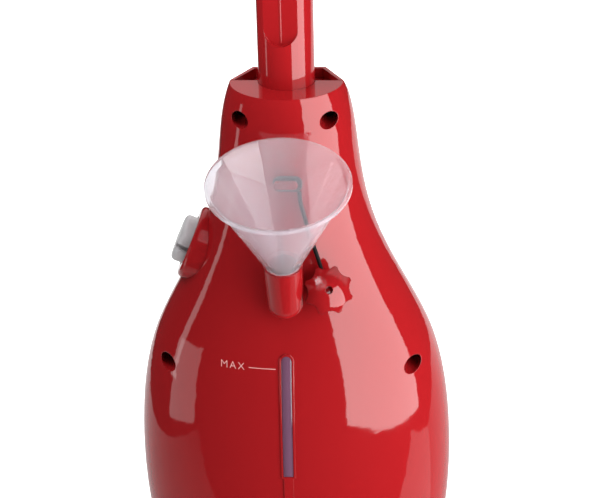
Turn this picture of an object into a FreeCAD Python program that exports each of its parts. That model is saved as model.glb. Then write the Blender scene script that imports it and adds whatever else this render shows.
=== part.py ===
import FreeCAD, Part
import math
import os
import re

import Sketcher

# Upright steam mop, in millimetres. +Z is up, -Y is the side that faces the user, and the
# origin is on the floor, on the pole's axis. The pear-shaped body is two moulded shells that
# meet on the plane Y = 0. Its outline is a row of ellipses, given as drops below the ledge.

SIZES = {
    # the ledge at the top of the body, above the floor
    "ledge_height": 432.0,
    # body outline: drop below the ledge and half width of each ellipse
    "ledge_drop": 0.0,
    "ledge_half_width": 28.9,
    "staple_drop": 45.0,
    "staple_half_width": 37.1,
    "dial_drop": 90.0,
    "dial_half_width": 49.15,
    "spout_drop": 115.0,
    "spout_half_width": 61.5,
    "window_drop": 140.0,
    "window_half_width": 73.3,
    "belly_drop": 205.0,
    "belly_half_width": 83.3,
    "hip_drop": 265.0,
    "hip_half_width": 78.2,
    "skirt_drop": 310.0,
    "skirt_half_width": 59.6,
    "sole_drop": 326.0,
    "sole_half_width": 45.0,
    # half depth of every ellipse = depth_base + depth_share * half width
    "depth_base": 12.0,
    "depth_share": 0.549,
    "shell_wall": 2.8,
    "seam_gap": 0.4,
    "fit_gap": 0.15,
    "crown_dish_depth": 6.0,
    "crown_flat_half_width": 18.7,
    "crown_flat_depth": 19.3,
    "crown_rim": 2.4,
    "crown_facet_height": 34.0,
    # screws of the body
    "well_radius": 4.33,
    "well_boss_radius": 6.4,
    "well_floor_depth": 5.0,
    "screw_shank_radius": 1.5,
    "screw_head_radius": 3.3,
    "screw_head_height": 2.4,
    "screw_reach": 12.0,
    "top_screw_spread": 22.3,
    "top_screw_drop": 13.0,
    "middle_screw_spread": 64.0,
    "middle_screw_drop": 147.0,
    "bottom_screw_spread": 54.0,
    "bottom_screw_drop": 283.0,
    # water window, its lip and the rib below it
    "window_width": 5.4,
    "window_top_drop": 131.3,
    "window_bottom_drop": 198.5,
    "window_lip": 1.0,
    "lip_height": 0.6,
    "rib_width": 5.0,
    "rib_end_gap": 14.0,
    "lens_flange": 2.2,
    # filler spout
    "spout_tilt": 15.7,
    "spout_mouth_radius": 9.9,
    "spout_end_radius": 9.3,
    "spout_straight": 24.6,
    "spout_sink": 2.3,
    "spout_length": 38.95,
    "spout_bore_radius": 7.4,
    "inlet_radius": 5.6,
    "inlet_bore_radius": 4.0,
    "inlet_drop": 101.0,
    # funnel
    "funnel_mouth_radius": 36.0,
    "funnel_depth": 52.0,
    "funnel_wall": 1.5,
    "funnel_rim_width": 2.6,
    "funnel_rim_height": 2.2,
    "funnel_throat_radius": 7.6,
    "funnel_stem_radius": 6.9,
    "funnel_stem_tip_radius": 5.8,
    "funnel_stem_length": 20.0,
    "funnel_rib_count": 4,
    "funnel_rib_thickness": 1.0,
    "funnel_rib_height": 20.0,
    # filler cap, its plug and its tether
    "cap_radius": 12.6,
    "cap_height": 6.6,
    "cap_lobes": 8,
    "cap_scallop_radius": 6.0,
    "cap_scallop_reach": 16.5,
    "cap_dome_radius": 34.0,
    "cap_hole_radius": 1.9,
    "cap_hole_depth": 3.0,
    "cap_plug_radius": 6.5,
    "cap_plug_length": 5.2,
    "cap_seal_thickness": 2.7,
    "cap_aside": 22.7,
    "cap_forward": 12.8,
    "cap_below_dial": 2.7,
    "cap_roll": 62.0,
    "cap_yaw": 13.0,
    "tether_radius": 1.05,
    # lug that holds the tether's eyelet
    "lug_drop": 42.4,
    "lug_aside": 0.9,
    "lug_width": 12.4,
    "lug_height": 4.5,
    "lug_thickness": 2.35,
    "lug_round": 1.1,
    "lug_neck_radius": 1.7,
    "eyelet_reach": 8.3,
    "eyelet_width": 14.7,
    "eyelet_height": 8.2,
    "eyelet_thickness": 1.6,
    "eyelet_corner": 3.4,
    "eyelet_round": 0.6,
    "eyelet_stand": 1.3,
    # steam dial and its collar
    "dial_tilt": 23.0,
    "dial_slide": 1.5,
    "collar_radius": 19.6,
    "collar_stand": 4.0,
    "collar_depth": 13.0,
    "collar_edge": 2.6,
    "collar_well": 1.6,
    "dial_radius": 12.6,
    "dial_thickness": 7.4,
    "dial_edge": 2.6,
    "dial_shaft_radius": 3.0,
    "dial_shaft_length": 17.0,
    "dial_notch_width": 3.0,
    "dial_notch_depth": 3.6,
    "dial_gap": 0.4,
    "switch_width": 18.0,
    "switch_depth": 9.0,
    # pole
    "pole_radius": 14.4,
    "pole_wall": 1.8,
    "pole_socket_depth": 60.0,
    "flute_half_width": 8.7,
    "flute_turn": -7.4,
    "flute_start": 22.6,
    "flute_line_radius": 0.5,
    "flute_line_sink": 0.15,
    "socket_wall": 3.0,
    "lower_pole_rise": 268.0,
    "coupling_ring_height": 5.0,
    "coupling_reach": 42.0,
    "upper_pole_rise": 250.0,
    # pole button
    "button_radius": 4.4,
    "button_length": 12.0,
    "button_stand": 2.6,
    "button_rise": 22.0,
    "button_spring_length": 6.6,
    "button_spring_radius": 3.2,
    "button_spring_wire": 0.45,
    # handle
    "handle_depth": 104.0,
    "handle_height": 186.0,
    "handle_bar": 26.0,
    "handle_half_thickness": 15.0,
    "handle_round": 10.0,
    "handle_neck": 44.0,
    "handle_neck_wall": 3.2,
    "handle_lean": 24.0,
    "handle_corner": 26.0,
    "grip_wall": 2.4,
    "grip_length": 70.0,
    # cord hooks
    "hook_reach": 30.0,
    "hook_arm": 9.0,
    "hook_tip": 22.0,
    "hook_width": 15.0,
    "hook_base": 30.0,
    "hook_pin_radius": 3.0,
    "hook_pin_length": 8.4,
    "pivot_boss_radius": 4.8,
    "pivot_boss_depth": 6.0,
    "running_gap": 0.06,
    "lower_hook_rise": 120.0,
    "upper_hook_drop": 46.0,
    # inner parts
    "tank_gap": 0.8,
    "tank_wall": 1.8,
    "tank_half_width": 54.0,
    "tank_front": 2.0,
    "tank_top_drop": 92.0,
    "tank_bottom_drop": 208.0,
    "chassis_thickness": 3.0,
    "chassis_bottom_drop": 217.0,
    "chassis_top_drop": 118.0,
    "pump_radius": 14.0,
    "pump_length": 52.0,
    "pump_drop": 190.0,
    "pump_back": 25.0,
    "pump_nipple_radius": 2.9,
    "pump_nipple_length": 8.0,
    "tube_radius": 3.0,
    "boiler_width": 92.0,
    "boiler_depth": 42.0,
    "boiler_top_drop": 234.0,
    "boiler_height": 66.0,
    "heater_radius": 4.5,
    "heater_spread": 24.0,
    "heater_reach": 14.0,
    "saddle_thickness": 1.6,
    "nipple_radius": 5.0,
    "nipple_length": 12.0,
    "board_width": 74.0,
    "board_height": 46.0,
    "board_top_drop": 124.0,
    "board_thickness": 1.6,
    "board_standoff": 6.0,
    "lamp_radius": 4.0,
    "lamp_drop": 62.0,
    # mains cord gland
    "gland_bore_radius": 3.6,
    "gland_root_radius": 8.4,
    "gland_tip_radius": 6.0,
    "gland_stand": 20.0,
    "gland_flange_radius": 10.5,
    "gland_flange": 2.0,
    "gland_seat": 1.8,
    # universal joint between body and head
    "pitch_height": 53.0,
    "pitch_pin_radius": 4.0,
    "yoke_barrel_radius": 9.6,
    "yoke_width": 39.0,
    "yoke_lift": 11.0,
    "roll_height": 80.0,
    "roll_pin_radius": 4.0,
    "roll_ear_radius": 9.6,
    "roll_ear": 7.0,
    "block_depth": 24.0,
    "joint_gap": 0.5,
    "neck_radius": 19.0,
    "neck_bottom": 93.0,
    "ring_radius": 31.0,
    "steam_bore_radius": 2.6,
    # head
    "pad_thickness": 8.0,
    "pad_overhang": 4.0,
    "strip_thickness": 1.2,
    "base_thickness": 8.0,
    "base_floor": 2.5,
    "base_wall": 3.4,
    "head_rear_width": 300.0,
    "head_front_width": 232.0,
    "head_depth": 172.0,
    "head_corner": 34.0,
    "bumper_thickness": 3.0,
    "bumper_height": 7.0,
    "cover_height": 23.6,
    "cover_taper": 55.0,
    "cover_wall": 2.6,
    "cover_skirt": 8.0,
    "ear_thickness": 8.0,
    "ear_radius": 11.0,
    "ear_depth": 30.0,
    "steam_hole_radius": 1.6,
    "steam_hole_pitch": 26.0,
    "steam_hole_count": 8,
    "manifold_length": 200.0,
    "manifold_width": 22.0,
    "manifold_height": 9.0,
}

doc = FreeCAD.newDocument("steam_mop")
sheet = doc.addObject("Spreadsheet::Sheet", "Sizes")
for row, (alias, value) in enumerate(SIZES.items(), 1):
    sheet.set(f"A{row}", alias)
    sheet.set(f"B{row}", str(value))
    sheet.setAlias(f"B{row}", alias)
doc.recompute()

NODES = {}


# ---------------------------------------------------------------- tools for the document

def sized(expression):
    """Write the sheet's name before each of its sizes in an expression."""
    return re.sub(r"[a-z]\w*", lambda word: "Sizes." + word.group() if word.group() in SIZES
                  else word.group(), str(expression))


def number(expression):
    """Work out an expression's present value."""
    return float(sheet.evalExpression(sized(expression)))


def bind(thing, **properties):
    for name, expression in properties.items():
        thing.setExpression(name, sized(expression))
    return thing


# Turns as yaw about Z, then pitch about Y, then roll about X, in degrees.
UPRIGHT = (0, 0, 0)
TO_X = (0, 90, 0)
TO_MINUS_X = (0, -90, 0)
TO_Y = (0, 0, -90)
TO_MINUS_Y = (0, 0, 90)


def place(thing, at, turn=UPRIGHT):
    spot = "create(<<vector>>; %s; %s; %s)" % tuple(at)
    rotation = "create(<<rotation>>; %s; %s; %s)" % tuple(turn)
    bind(thing, Placement=f"create(<<placement>>; {spot}; {rotation})")
    return thing


def node(name, thing):
    """Name a finished piece: its label is its node's name."""
    thing.Label = name
    NODES[name] = thing
    return thing


def box(name, length, width, height, at, turn=UPRIGHT):
    thing = bind(doc.addObject("Part::Box", name), Length=length, Width=width, Height=height)
    return place(thing, at, turn)


def centred_box(name, length, width, height, at):
    """A box centred on at in X and Y, with its floor at at's Z."""
    x, y, z = at
    return box(name, length, width, height, (f"{x} - ({length})/2", f"{y} - ({width})/2", z))


def cylinder(name, radius, height, at, turn=UPRIGHT):
    return place(bind(doc.addObject("Part::Cylinder", name), Radius=radius, Height=height), at, turn)


def cone(name, low_radius, high_radius, height, at, turn=UPRIGHT):
    thing = doc.addObject("Part::Cone", name)
    return place(bind(thing, Radius1=low_radius, Radius2=high_radius, Height=height), at, turn)


def sphere(name, radius, at):
    return place(bind(doc.addObject("Part::Sphere", name), Radius=radius), at)


def fuse(name, *shapes):
    thing = doc.addObject("Part::MultiFuse", name)
    thing.Shapes = list(shapes)
    thing.Refine = True
    return thing


def common(name, *shapes):
    thing = doc.addObject("Part::MultiCommon", name)
    thing.Shapes = list(shapes)
    return thing


def cut(name, base, *tools):
    thing = doc.addObject("Part::Cut", name)
    thing.Base = base
    thing.Tool = tools[0] if len(tools) == 1 else fuse(name + "_tools", *tools)
    thing.Refine = True
    return thing


def group(name, *shapes):
    """Separate solids that share one node."""
    thing = doc.addObject("Part::Compound", name)
    thing.Links = list(shapes)
    return thing


def body(name, at=(0, 0, 0), turn=UPRIGHT):
    return place(doc.addObject("PartDesign::Body", name), at, turn)


def sketch(owner, plane, name):
    thing = owner.newObject("Sketcher::SketchObject", name)
    origin_plane = [item for item in owner.Origin.OriginFeatures if item.Role == plane][0]
    thing.AttachmentSupport = [(origin_plane, "")]
    thing.MapMode = "FlatFace"
    return thing


def pin(drawing, geometry, point, x, y):
    """Hold a sketch point at a place worked out from the sheet."""
    for kind, expression in (("DistanceX", x), ("DistanceY", y)):
        value = number(expression)
        index = drawing.addConstraint(Sketcher.Constraint(kind, -1, 1, geometry, point, value))
        drawing.setExpression(f"Constraints[{index}]", sized(expression))


def outline(drawing, corners):
    """Draw a closed outline through corners given as pairs of expressions."""
    first = drawing.GeometryCount
    spots = [FreeCAD.Vector(number(x), number(y), 0) for x, y in corners]
    for index, spot in enumerate(spots):
        drawing.addGeometry(Part.LineSegment(spot, spots[(index + 1) % len(spots)]))
    for index, (x, y) in enumerate(corners):
        following = first + (index + 1) % len(corners)
        drawing.addConstraint(Sketcher.Constraint("Coincident", first + index, 2, following, 1))
        pin(drawing, first + index, 1, x, y)


def circle(drawing, radius, x="0", y="0"):
    centre = FreeCAD.Vector(number(x), number(y), 0)
    index = drawing.addGeometry(Part.Circle(centre, FreeCAD.Vector(0, 0, 1), number(radius)))
    pin(drawing, index, 3, x, y)
    rule = drawing.addConstraint(Sketcher.Constraint("Radius", index, number(radius)))
    drawing.setExpression(f"Constraints[{rule}]", sized(radius))


def pad(owner, drawing, length, midplane=False, reverse=False):
    thing = owner.newObject("PartDesign::Pad", drawing.Name + "_pad")
    thing.Profile = drawing
    thing.SideType = "Symmetric" if midplane else "One side"
    thing.Reversed = reverse
    bind(thing, Length=length)
    return thing


def pocket(owner, drawing, length, reverse=False):
    thing = owner.newObject("PartDesign::Pocket", drawing.Name + "_pocket")
    thing.Profile = drawing
    thing.Reversed = reverse
    bind(thing, Length=length)
    return thing


def revolved(name, corners, at=(0, 0, 0), turn=UPRIGHT):
    """A body turned about its own Z axis from an outline of (radius, height) corners."""
    owner = body(name, at, turn)
    drawing = sketch(owner, "XZ_Plane", name + "_outline")
    outline(drawing, corners)
    thing = owner.newObject("PartDesign::Revolution", name + "_turn")
    thing.Profile = drawing
    thing.ReferenceAxis = (drawing, ["V_Axis"])
    return owner


def repeat(owner, feature, count):
    """Repeat a feature round the body's own Z axis."""
    thing = owner.newObject("PartDesign::PolarPattern", feature.Name + "_round")
    thing.Originals = [feature]
    axis = [item for item in owner.Origin.OriginFeatures if item.Role == "Z_Axis"][0]
    thing.Axis = (axis, [""])
    thing.Angle = 360
    bind(thing, Occurrences=count)
    owner.Tip = thing
    return thing


def round_edges(owner, radius, chosen):
    """Fillet the edges of a body's tip that chosen(edge) picks."""
    doc.recompute()
    tip = owner.Tip
    names = [f"Edge{i}" for i, edge in enumerate(tip.Shape.Edges, 1) if chosen(edge)]
    thing = owner.newObject("PartDesign::Fillet", tip.Name + "_round_edges")
    thing.Base = (tip, names)
    bind(thing, Radius=radius)
    return thing


def route(points, share=0.45):
    """Straight runs joined by tangent arcs, and the arcs' radii."""
    edges = []
    radii = []
    start = points[0]
    for before, corner, after in zip(points, points[1:], points[2:]):
        inward = (before - corner).normalize()
        outward = (after - corner).normalize()
        half_turn = (math.pi - inward.getAngle(outward)) / 2
        trim = share * min((before - corner).Length, (after - corner).Length)
        radius = trim / math.tan(half_turn)
        enter = corner + inward * trim
        leave = corner + outward * trim
        bisector = (inward + outward).normalize()
        middle = corner + bisector * ((trim ** 2 + radius ** 2) ** 0.5 - radius)
        edges.append(Part.LineSegment(start, enter).toShape())
        edges.append(Part.Arc(enter, middle, leave).toShape())
        radii.append(round(radius, 1))
        start = leave
    edges.append(Part.LineSegment(start, points[-1]).toShape())
    return Part.Wire(edges), radii


def tube(name, points, radius, bore=None):
    """A round tube along a route of points; a bore makes it hollow."""
    path, radii = route(points)
    away = (points[1] - points[0]).normalize()

    def swept(size):
        ring = Part.Wire(Part.makeCircle(size, points[0], away))
        return path.makePipeShell([ring], True, True)

    solid = swept(radius)
    if bore:
        solid = solid.cut(swept(bore))
    area = math.pi * (radius ** 2 - (bore or 0) ** 2)
    print(name, "arc radii", radii, "length", round(path.Length, 1),
          "volume share", round(solid.Volume / (area * path.Length), 4))
    thing = doc.addObject("Part::Feature", name)
    thing.Shape = solid
    return thing


# ---------------------------------------------------------------- body outline

SECTIONS = ("ledge", "staple", "dial", "spout", "window", "belly", "hip", "skirt", "sole")


def half_depth(section):
    return f"(depth_base + depth_share*{section}_half_width)"


def level(drop):
    return f"(ledge_height - ({drop}))"


def body_form(name, inset, lower_top="0", raise_floor="0"):
    """The body's outline, drawn in by inset all round, as one smooth loft."""
    rings = []
    for section in SECTIONS:
        drop = f"{section}_drop"
        if section == SECTIONS[0]:
            drop = f"{drop} + {lower_top}"
        if section == SECTIONS[-1]:
            drop = f"{drop} - ({raise_floor})"
        ring = doc.addObject("Part::Ellipse", f"{name}_{section}")
        bind(ring, MajorRadius=f"{section}_half_width - ({inset})",
             MinorRadius=f"{half_depth(section)} - ({inset})")
        place(ring, (0, 0, level(drop)))
        rings.append(ring)
    loft = doc.addObject("Part::Loft", name)
    loft.Sections = rings
    loft.Solid = True
    return loft


outer_form = body_form("outer_form", "0")
proud_form = body_form("proud_form", "-lip_height")
rear_room = body_form("rear_room", "shell_wall", "shell_wall", "shell_wall")
front_room = body_form("front_room", "shell_wall", "crown_dish_depth + shell_wall", "shell_wall")

WIDE = "4*belly_half_width"
TALL = "2*ledge_height"
rear_half = box("rear_half", WIDE, WIDE, TALL, ("-2*belly_half_width", f"-{WIDE} - seam_gap/2", 0))
front_half = box("front_half", WIDE, WIDE, TALL, ("-2*belly_half_width", "seam_gap/2", 0))

SCREWS = {
    "top_left": ("-top_screw_spread", "top_screw_drop"),
    "top_right": ("top_screw_spread", "top_screw_drop"),
    "middle_left": ("-middle_screw_spread", "middle_screw_drop"),
    "middle_right": ("middle_screw_spread", "middle_screw_drop"),
    "bottom_left": ("-bottom_screw_spread", "bottom_screw_drop"),
    "bottom_right": ("bottom_screw_spread", "bottom_screw_drop"),
}
REACH = "(2*belly_half_width)"


def along_screws(name, radius, start, length, turn):
    """One cylinder on each screw's axis, from start (a Y) over length."""
    return [cylinder(f"{name}_{place_name}", radius, length, (x, start, level(drop)), turn)
            for place_name, (x, drop) in SCREWS.items()]


# ---------------------------------------------------------------- rear shell

WINDOW_HEIGHT = "(window_bottom_drop - window_top_drop)"


def window_prism(name, margin):
    """An upright slot with a round top, grown by margin all round."""
    half = f"(window_width/2 + {margin})"
    low = level(f"window_bottom_drop + {margin}")
    straight = box(name + "_straight", f"2*{half}", REACH, f"{WINDOW_HEIGHT} + {margin} - window_width/2",
                   (f"-{half}", f"-{REACH}", low))
    crown = cylinder(name + "_crown", half, REACH,
                     (0, 0, level("window_top_drop + window_width/2")), TO_MINUS_Y)
    return fuse(name, straight, crown)


def spout_axis(distance):
    """A point on the spout's axis, measured up from its root inside the shell."""
    root_y = f"(spout_sink - {half_depth('spout')})"
    return (0, f"{root_y} - ({distance})*sin(spout_tilt)",
            f"{level('spout_drop')} + ({distance})*cos(spout_tilt)")


SPOUT_TURN = (0, 0, "spout_tilt")
SPOUT_DOME = "(spout_length - spout_straight)"


def spout_solid(name, gap):
    """The spout's outside: a tapered tube with a domed lower end, and its inlet elbow."""
    barrel = cone(name + "_barrel", f"spout_end_radius + {gap}", f"spout_mouth_radius + {gap}",
                  "spout_straight", spout_axis(SPOUT_DOME), SPOUT_TURN)
    dome = sphere(name + "_dome", f"spout_end_radius + {gap}", spout_axis(SPOUT_DOME))
    dome_y = spout_axis(SPOUT_DOME)[1]
    inlet = cylinder(name + "_inlet", f"inlet_radius + {gap}", f"{TANK_REAR_AT_INLET} - ({dome_y})",
                     (0, dome_y, level("inlet_drop")), TO_Y)
    return fuse(name, barrel, dome, inlet)


TANK_INSET = "(shell_wall + tank_gap)"
# The tank's rear wall where the spout's inlet meets it lies on the spout section's depth.
TANK_REAR_AT_INLET = f"({TANK_INSET} + tank_wall + 3 - {half_depth('spout')} + 2.6)"

DIAL_TURN = (0, "dial_tilt - 90", 0)


def dial_axis(distance):
    """A point on the dial's axis, measured outwards from the body's surface."""
    return (f"-dial_half_width - ({distance})*cos(dial_tilt) - dial_slide*sin(dial_tilt)", 0,
            f"{level('dial_drop')} + ({distance})*sin(dial_tilt) - dial_slide*cos(dial_tilt)")


RIB_END = "(hip_drop - rib_end_gap)"
bosses = common("rear_bosses", outer_form,
                fuse("rear_boss_rods", *along_screws("rear_boss", "well_boss_radius", 0, REACH, TO_MINUS_Y)))
front_bosses = common("front_bosses", outer_form,
                      fuse("front_boss_rods",
                           *along_screws("front_boss", "well_boss_radius", 0, REACH, TO_Y)))
socket = common("pole_socket", outer_form,
                cylinder("pole_socket_rod", "pole_radius + fit_gap + socket_wall", "pole_socket_depth",
                         (0, 0, level("pole_socket_depth"))))
pole_hole = cylinder("pole_hole", "pole_radius + fit_gap", "pole_socket_depth + 10",
                     (0, 0, level("pole_socket_depth")))
neck_hole = cylinder("neck_hole", "neck_radius + fit_gap", "2*shell_wall",
                     (0, 0, f"{level('sole_drop')} - shell_wall/2"))
collar_hole = cylinder("collar_hole", "collar_radius + fit_gap", "collar_depth + collar_stand",
                       dial_axis("-collar_depth"), DIAL_TURN)
lip = common("window_lip_band", proud_form, window_prism("window_lip_prism", "window_lip"))
rib = common("rib_band", proud_form,
             box("rib_slab", "rib_width", REACH, f"{RIB_END} - window_bottom_drop",
                 ("-rib_width/2", f"-{REACH}", level(RIB_END))))
gland_hole = cylinder("gland_hole", "gland_root_radius + fit_gap", REACH,
                      (0, "-pole_radius", level("hip_drop")), TO_MINUS_Y)
wells = along_screws("well", "well_radius", "-well_floor_depth", REACH, TO_MINUS_Y)
shank_holes = along_screws("shank_hole", "screw_shank_radius + fit_gap", 1, REACH, TO_MINUS_Y)
LUG_Y = f"(0.3 - {half_depth('staple')})"
lug_hole = cylinder("lug_hole", "lug_neck_radius + fit_gap", REACH,
                    ("lug_aside", f"{LUG_Y} + 2*shell_wall", level("lug_drop")), TO_MINUS_Y)

rear_hollow = cut("rear_hollow", fuse("rear_solid", outer_form, lip, rib), rear_room)
rear_skin = common("rear_skin", fuse("rear_whole", rear_hollow, bosses, socket), rear_half)
rear_shell = cut("rear_shell_piece", rear_skin, pole_hole, neck_hole, collar_hole, gland_hole,
                 window_prism("window_slot", "0"), spout_solid("spout_hole", "fit_gap"),
                 lug_hole, *wells, *shank_holes)
node("rear_shell", rear_shell)

# ---------------------------------------------------------------- front shell, with its faceted crown


def crown_ring(name, rise_by, grow, inset):
    """A six-cornered plan of the crown, as a closed wire in its own sketch."""
    drawing = doc.addObject("Sketcher::SketchObject", name)
    side = f"(ledge_half_width + {grow} - {inset})"
    flat = f"(crown_flat_half_width + {grow} - {inset}/2)"
    back = f"(crown_flat_depth + {grow} - {inset})"
    outline(drawing, [(f"-{side}", "-2"), (side, "-2"), (side, "0"), (flat, back),
                      (f"-{flat}", back), (f"-{side}", "0")])
    return place(drawing, (0, 0, level(rise_by)))


def lofted(name, *rings):
    loft = doc.addObject("Part::Loft", name)
    loft.Sections = list(rings)
    loft.Solid = True
    loft.Ruled = True
    return loft


facets = lofted("crown_facets", crown_ring("crown_top", "0", "0", "0"),
                crown_ring("crown_foot", "crown_facet_height", "crown_facet_height*0.55", "0"))
below_crown = box("below_crown", WIDE, WIDE, level("crown_facet_height"), ("-2*belly_half_width", 0, 0))
crown_limit = fuse("crown_limit", facets, below_crown)
dish = lofted("crown_dish", crown_ring("dish_top", "-1", "0", "crown_rim"),
              crown_ring("dish_floor", "crown_dish_depth", "0", "crown_rim + 1.5"))
front_hollow = cut("front_hollow", outer_form, front_room)
front_skin = common("front_skin", fuse("front_whole", front_hollow, front_bosses, socket),
                    front_half, crown_limit)
pilot_holes = along_screws("pilot_hole", "screw_shank_radius + fit_gap", "-1", "screw_reach + 2", TO_Y)
lamp_y = half_depth("staple")
lamp_hole = cylinder("lamp_hole", "lamp_radius + fit_gap", REACH, (0, "pole_radius + 6", level("lamp_drop")),
                     TO_Y)
front_shell = cut("front_shell_piece", front_skin, pole_hole, neck_hole, collar_hole, dish, lamp_hole,
                  *pilot_holes)
node("front_shell", front_shell)

# ---------------------------------------------------------------- case screws

shanks = along_screws("shank", "screw_shank_radius", "-well_floor_depth", "screw_reach + well_floor_depth",
                      TO_Y)
heads = along_screws("screw_head", "screw_head_radius", "-well_floor_depth", "screw_head_height",
                     TO_MINUS_Y)
screws = [fuse(f"case_screw_{key}", shank, head) for key, shank, head in zip(SCREWS, shanks, heads)]
node("shell_screws", group("shell_screw_set", *screws))

# ---------------------------------------------------------------- water tank and its window

tank_form = body_form("tank_form", TANK_INSET)
tank_room = body_form("tank_room", f"{TANK_INSET} + tank_wall")


def tank_block(name, shrink):
    return box(name, f"2*(tank_half_width - {shrink})", REACH,
               f"tank_bottom_drop - tank_top_drop - 2*{shrink}",
               (f"{shrink} - tank_half_width", f"-tank_front - {REACH} - {shrink}",
                level(f"tank_bottom_drop - {shrink}")))


def collar_clearance(name, gap):
    """A round room on the dial's axis that keeps clear of its collar and switch by gap."""
    depth = f"(collar_depth + switch_depth + {gap})"
    return cylinder(name, f"collar_radius + {gap}", f"{depth} + collar_stand",
                    dial_axis(f"-{depth}"), DIAL_TURN)


tank_outside = cut("tank_outside", common("tank_whole", tank_form, tank_block("tank_block", "0")),
                   collar_clearance("tank_relief", "1"))
tank_inside = cut("tank_inside", common("tank_space_whole", tank_room, tank_block("tank_space", "tank_wall")),
                  collar_clearance("tank_relief_wall", "1 + tank_wall"))
TANK_OUTLET = ("-tank_half_width + 14", "-tank_front - 12", level("tank_bottom_drop"))
outlet_nipple = cylinder("tank_outlet", "pump_nipple_radius", "6 + tank_wall/2",
                         (TANK_OUTLET[0], TANK_OUTLET[1], f"{TANK_OUTLET[2]} - 6"))
outlet_bore = cylinder("tank_outlet_bore", "pump_nipple_radius - 1", "8 + tank_wall",
                       (TANK_OUTLET[0], TANK_OUTLET[1], f"{TANK_OUTLET[2]} - 7"))
tank_inlet_hole = cylinder("tank_inlet_hole", "inlet_radius + fit_gap", REACH,
                           (0, "-tank_front - tank_wall - 4", level("inlet_drop")), TO_MINUS_Y)
node("water_tank", cut("tank_piece", fuse("tank_with_outlet", tank_outside, outlet_nipple),
                       tank_inside, outlet_bore, tank_inlet_hole))

lens_band = cut("lens_band", body_form("lens_form", "-lip_height/2"), body_form("lens_back", TANK_INSET))
lens_front = common("lens_front", lens_band, window_prism("lens_prism", "0 - fit_gap"))
flange_band = cut("flange_band", body_form("flange_form", "shell_wall + fit_gap"),
                  body_form("flange_back", f"{TANK_INSET} - fit_gap"))
lens_flange = common("lens_flange_ring", flange_band, window_prism("flange_prism", "lens_flange"))
node("level_window", fuse("level_window_piece", lens_front, lens_flange))

# ---------------------------------------------------------------- filler spout

spout_outside = spout_solid("spout_outside", "0")
spout_bore = cylinder("spout_bore", "spout_bore_radius", "spout_straight + 1", spout_axis(SPOUT_DOME),
                      SPOUT_TURN)
spout_bottom = sphere("spout_bore_end", "spout_bore_radius - 1", spout_axis(SPOUT_DOME))
inlet_bore = cylinder("inlet_bore", "inlet_bore_radius", REACH,
                      (0, spout_axis(SPOUT_DOME)[1], level("inlet_drop")), TO_Y)
node("filler_spout", cut("filler_spout_piece", spout_outside, spout_bore, spout_bottom, inlet_bore))

# ---------------------------------------------------------------- funnel

CONE_TOP = "funnel_depth"
funnel = revolved("funnel_body", [
    ("funnel_stem_tip_radius - funnel_wall", "-funnel_stem_length"),
    ("funnel_stem_tip_radius", "-funnel_stem_length"),
    ("funnel_stem_radius", "0"),
    ("funnel_throat_radius + funnel_wall", "0.3"),
    ("funnel_throat_radius + funnel_wall*1.6", "2.4"),
    ("funnel_mouth_radius - funnel_rim_width", f"{CONE_TOP} - funnel_rim_height"),
    ("funnel_mouth_radius", f"{CONE_TOP} - funnel_rim_height + 0.3"),
    ("funnel_mouth_radius", CONE_TOP),
    ("funnel_mouth_radius - funnel_wall", CONE_TOP),
    ("funnel_throat_radius - funnel_wall/2", "2.4"),
    ("funnel_stem_radius - funnel_wall", "-1"),
], spout_axis("spout_length"), SPOUT_TURN)
rib_drawing = sketch(funnel, "XZ_Plane", "funnel_rib_outline")
outline(rib_drawing, [
    ("funnel_throat_radius - funnel_wall/2 - 1.2", "1.5"),
    ("funnel_throat_radius - funnel_wall/2 + 0.4", "1.5"),
    ("funnel_throat_radius + (funnel_mouth_radius - funnel_throat_radius)"
     "*(funnel_rib_height - 2.4)/(funnel_depth - 2.4)", "funnel_rib_height"),
    ("funnel_throat_radius + (funnel_mouth_radius - funnel_throat_radius)"
     "*(funnel_rib_height - 2.4)/(funnel_depth - 2.4) - 1.9", "funnel_rib_height"),
])
funnel_rib = pad(funnel, rib_drawing, "funnel_rib_thickness", midplane=True)
doc.recompute()
repeat(funnel, funnel_rib, "funnel_rib_count")
node("funnel", funnel)

# ---------------------------------------------------------------- filler cap, seal, tether and lug

CAP_FACE = ("cap_aside", f"-{half_depth('dial')} - cap_forward",
            f"{level('dial_drop')} - cap_below_dial")
CAP_TURN = ("cap_yaw", 0, "cap_roll")

cap = body("filler_cap_body", CAP_FACE, CAP_TURN)
knob_drawing = sketch(cap, "XY_Plane", "cap_knob")
circle(knob_drawing, "cap_radius")
pad(cap, knob_drawing, "cap_height", reverse=True)
scallop_drawing = sketch(cap, "XY_Plane", "cap_scallop")
circle(scallop_drawing, "cap_scallop_radius", "cap_scallop_reach", "0")
scallop = pocket(cap, scallop_drawing, "cap_height")
doc.recompute()
repeat(cap, scallop, "cap_lobes")
plug_drawing = sketch(cap, "XY_Plane", "cap_plug")
circle(plug_drawing, "cap_plug_radius")
pad(cap, plug_drawing, "cap_height + cap_plug_length", reverse=True)
hole_drawing = sketch(cap, "XY_Plane", "cap_hole")
circle(hole_drawing, "cap_hole_radius")
pocket(cap, hole_drawing, "cap_hole_depth")


def cap_point(depth):
    """A point on the cap's axis, depth behind its face."""
    x, y, z = CAP_FACE
    return (f"{x} - ({depth})*sin(cap_roll)*sin(cap_yaw)", f"{y} + ({depth})*sin(cap_roll)*cos(cap_yaw)",
            f"{z} - ({depth})*cos(cap_roll)")


cap_dome = sphere("cap_dome", "cap_dome_radius", cap_point("cap_dome_radius"))
node("filler_cap", common("filler_cap_piece", cap, cap_dome))

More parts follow.
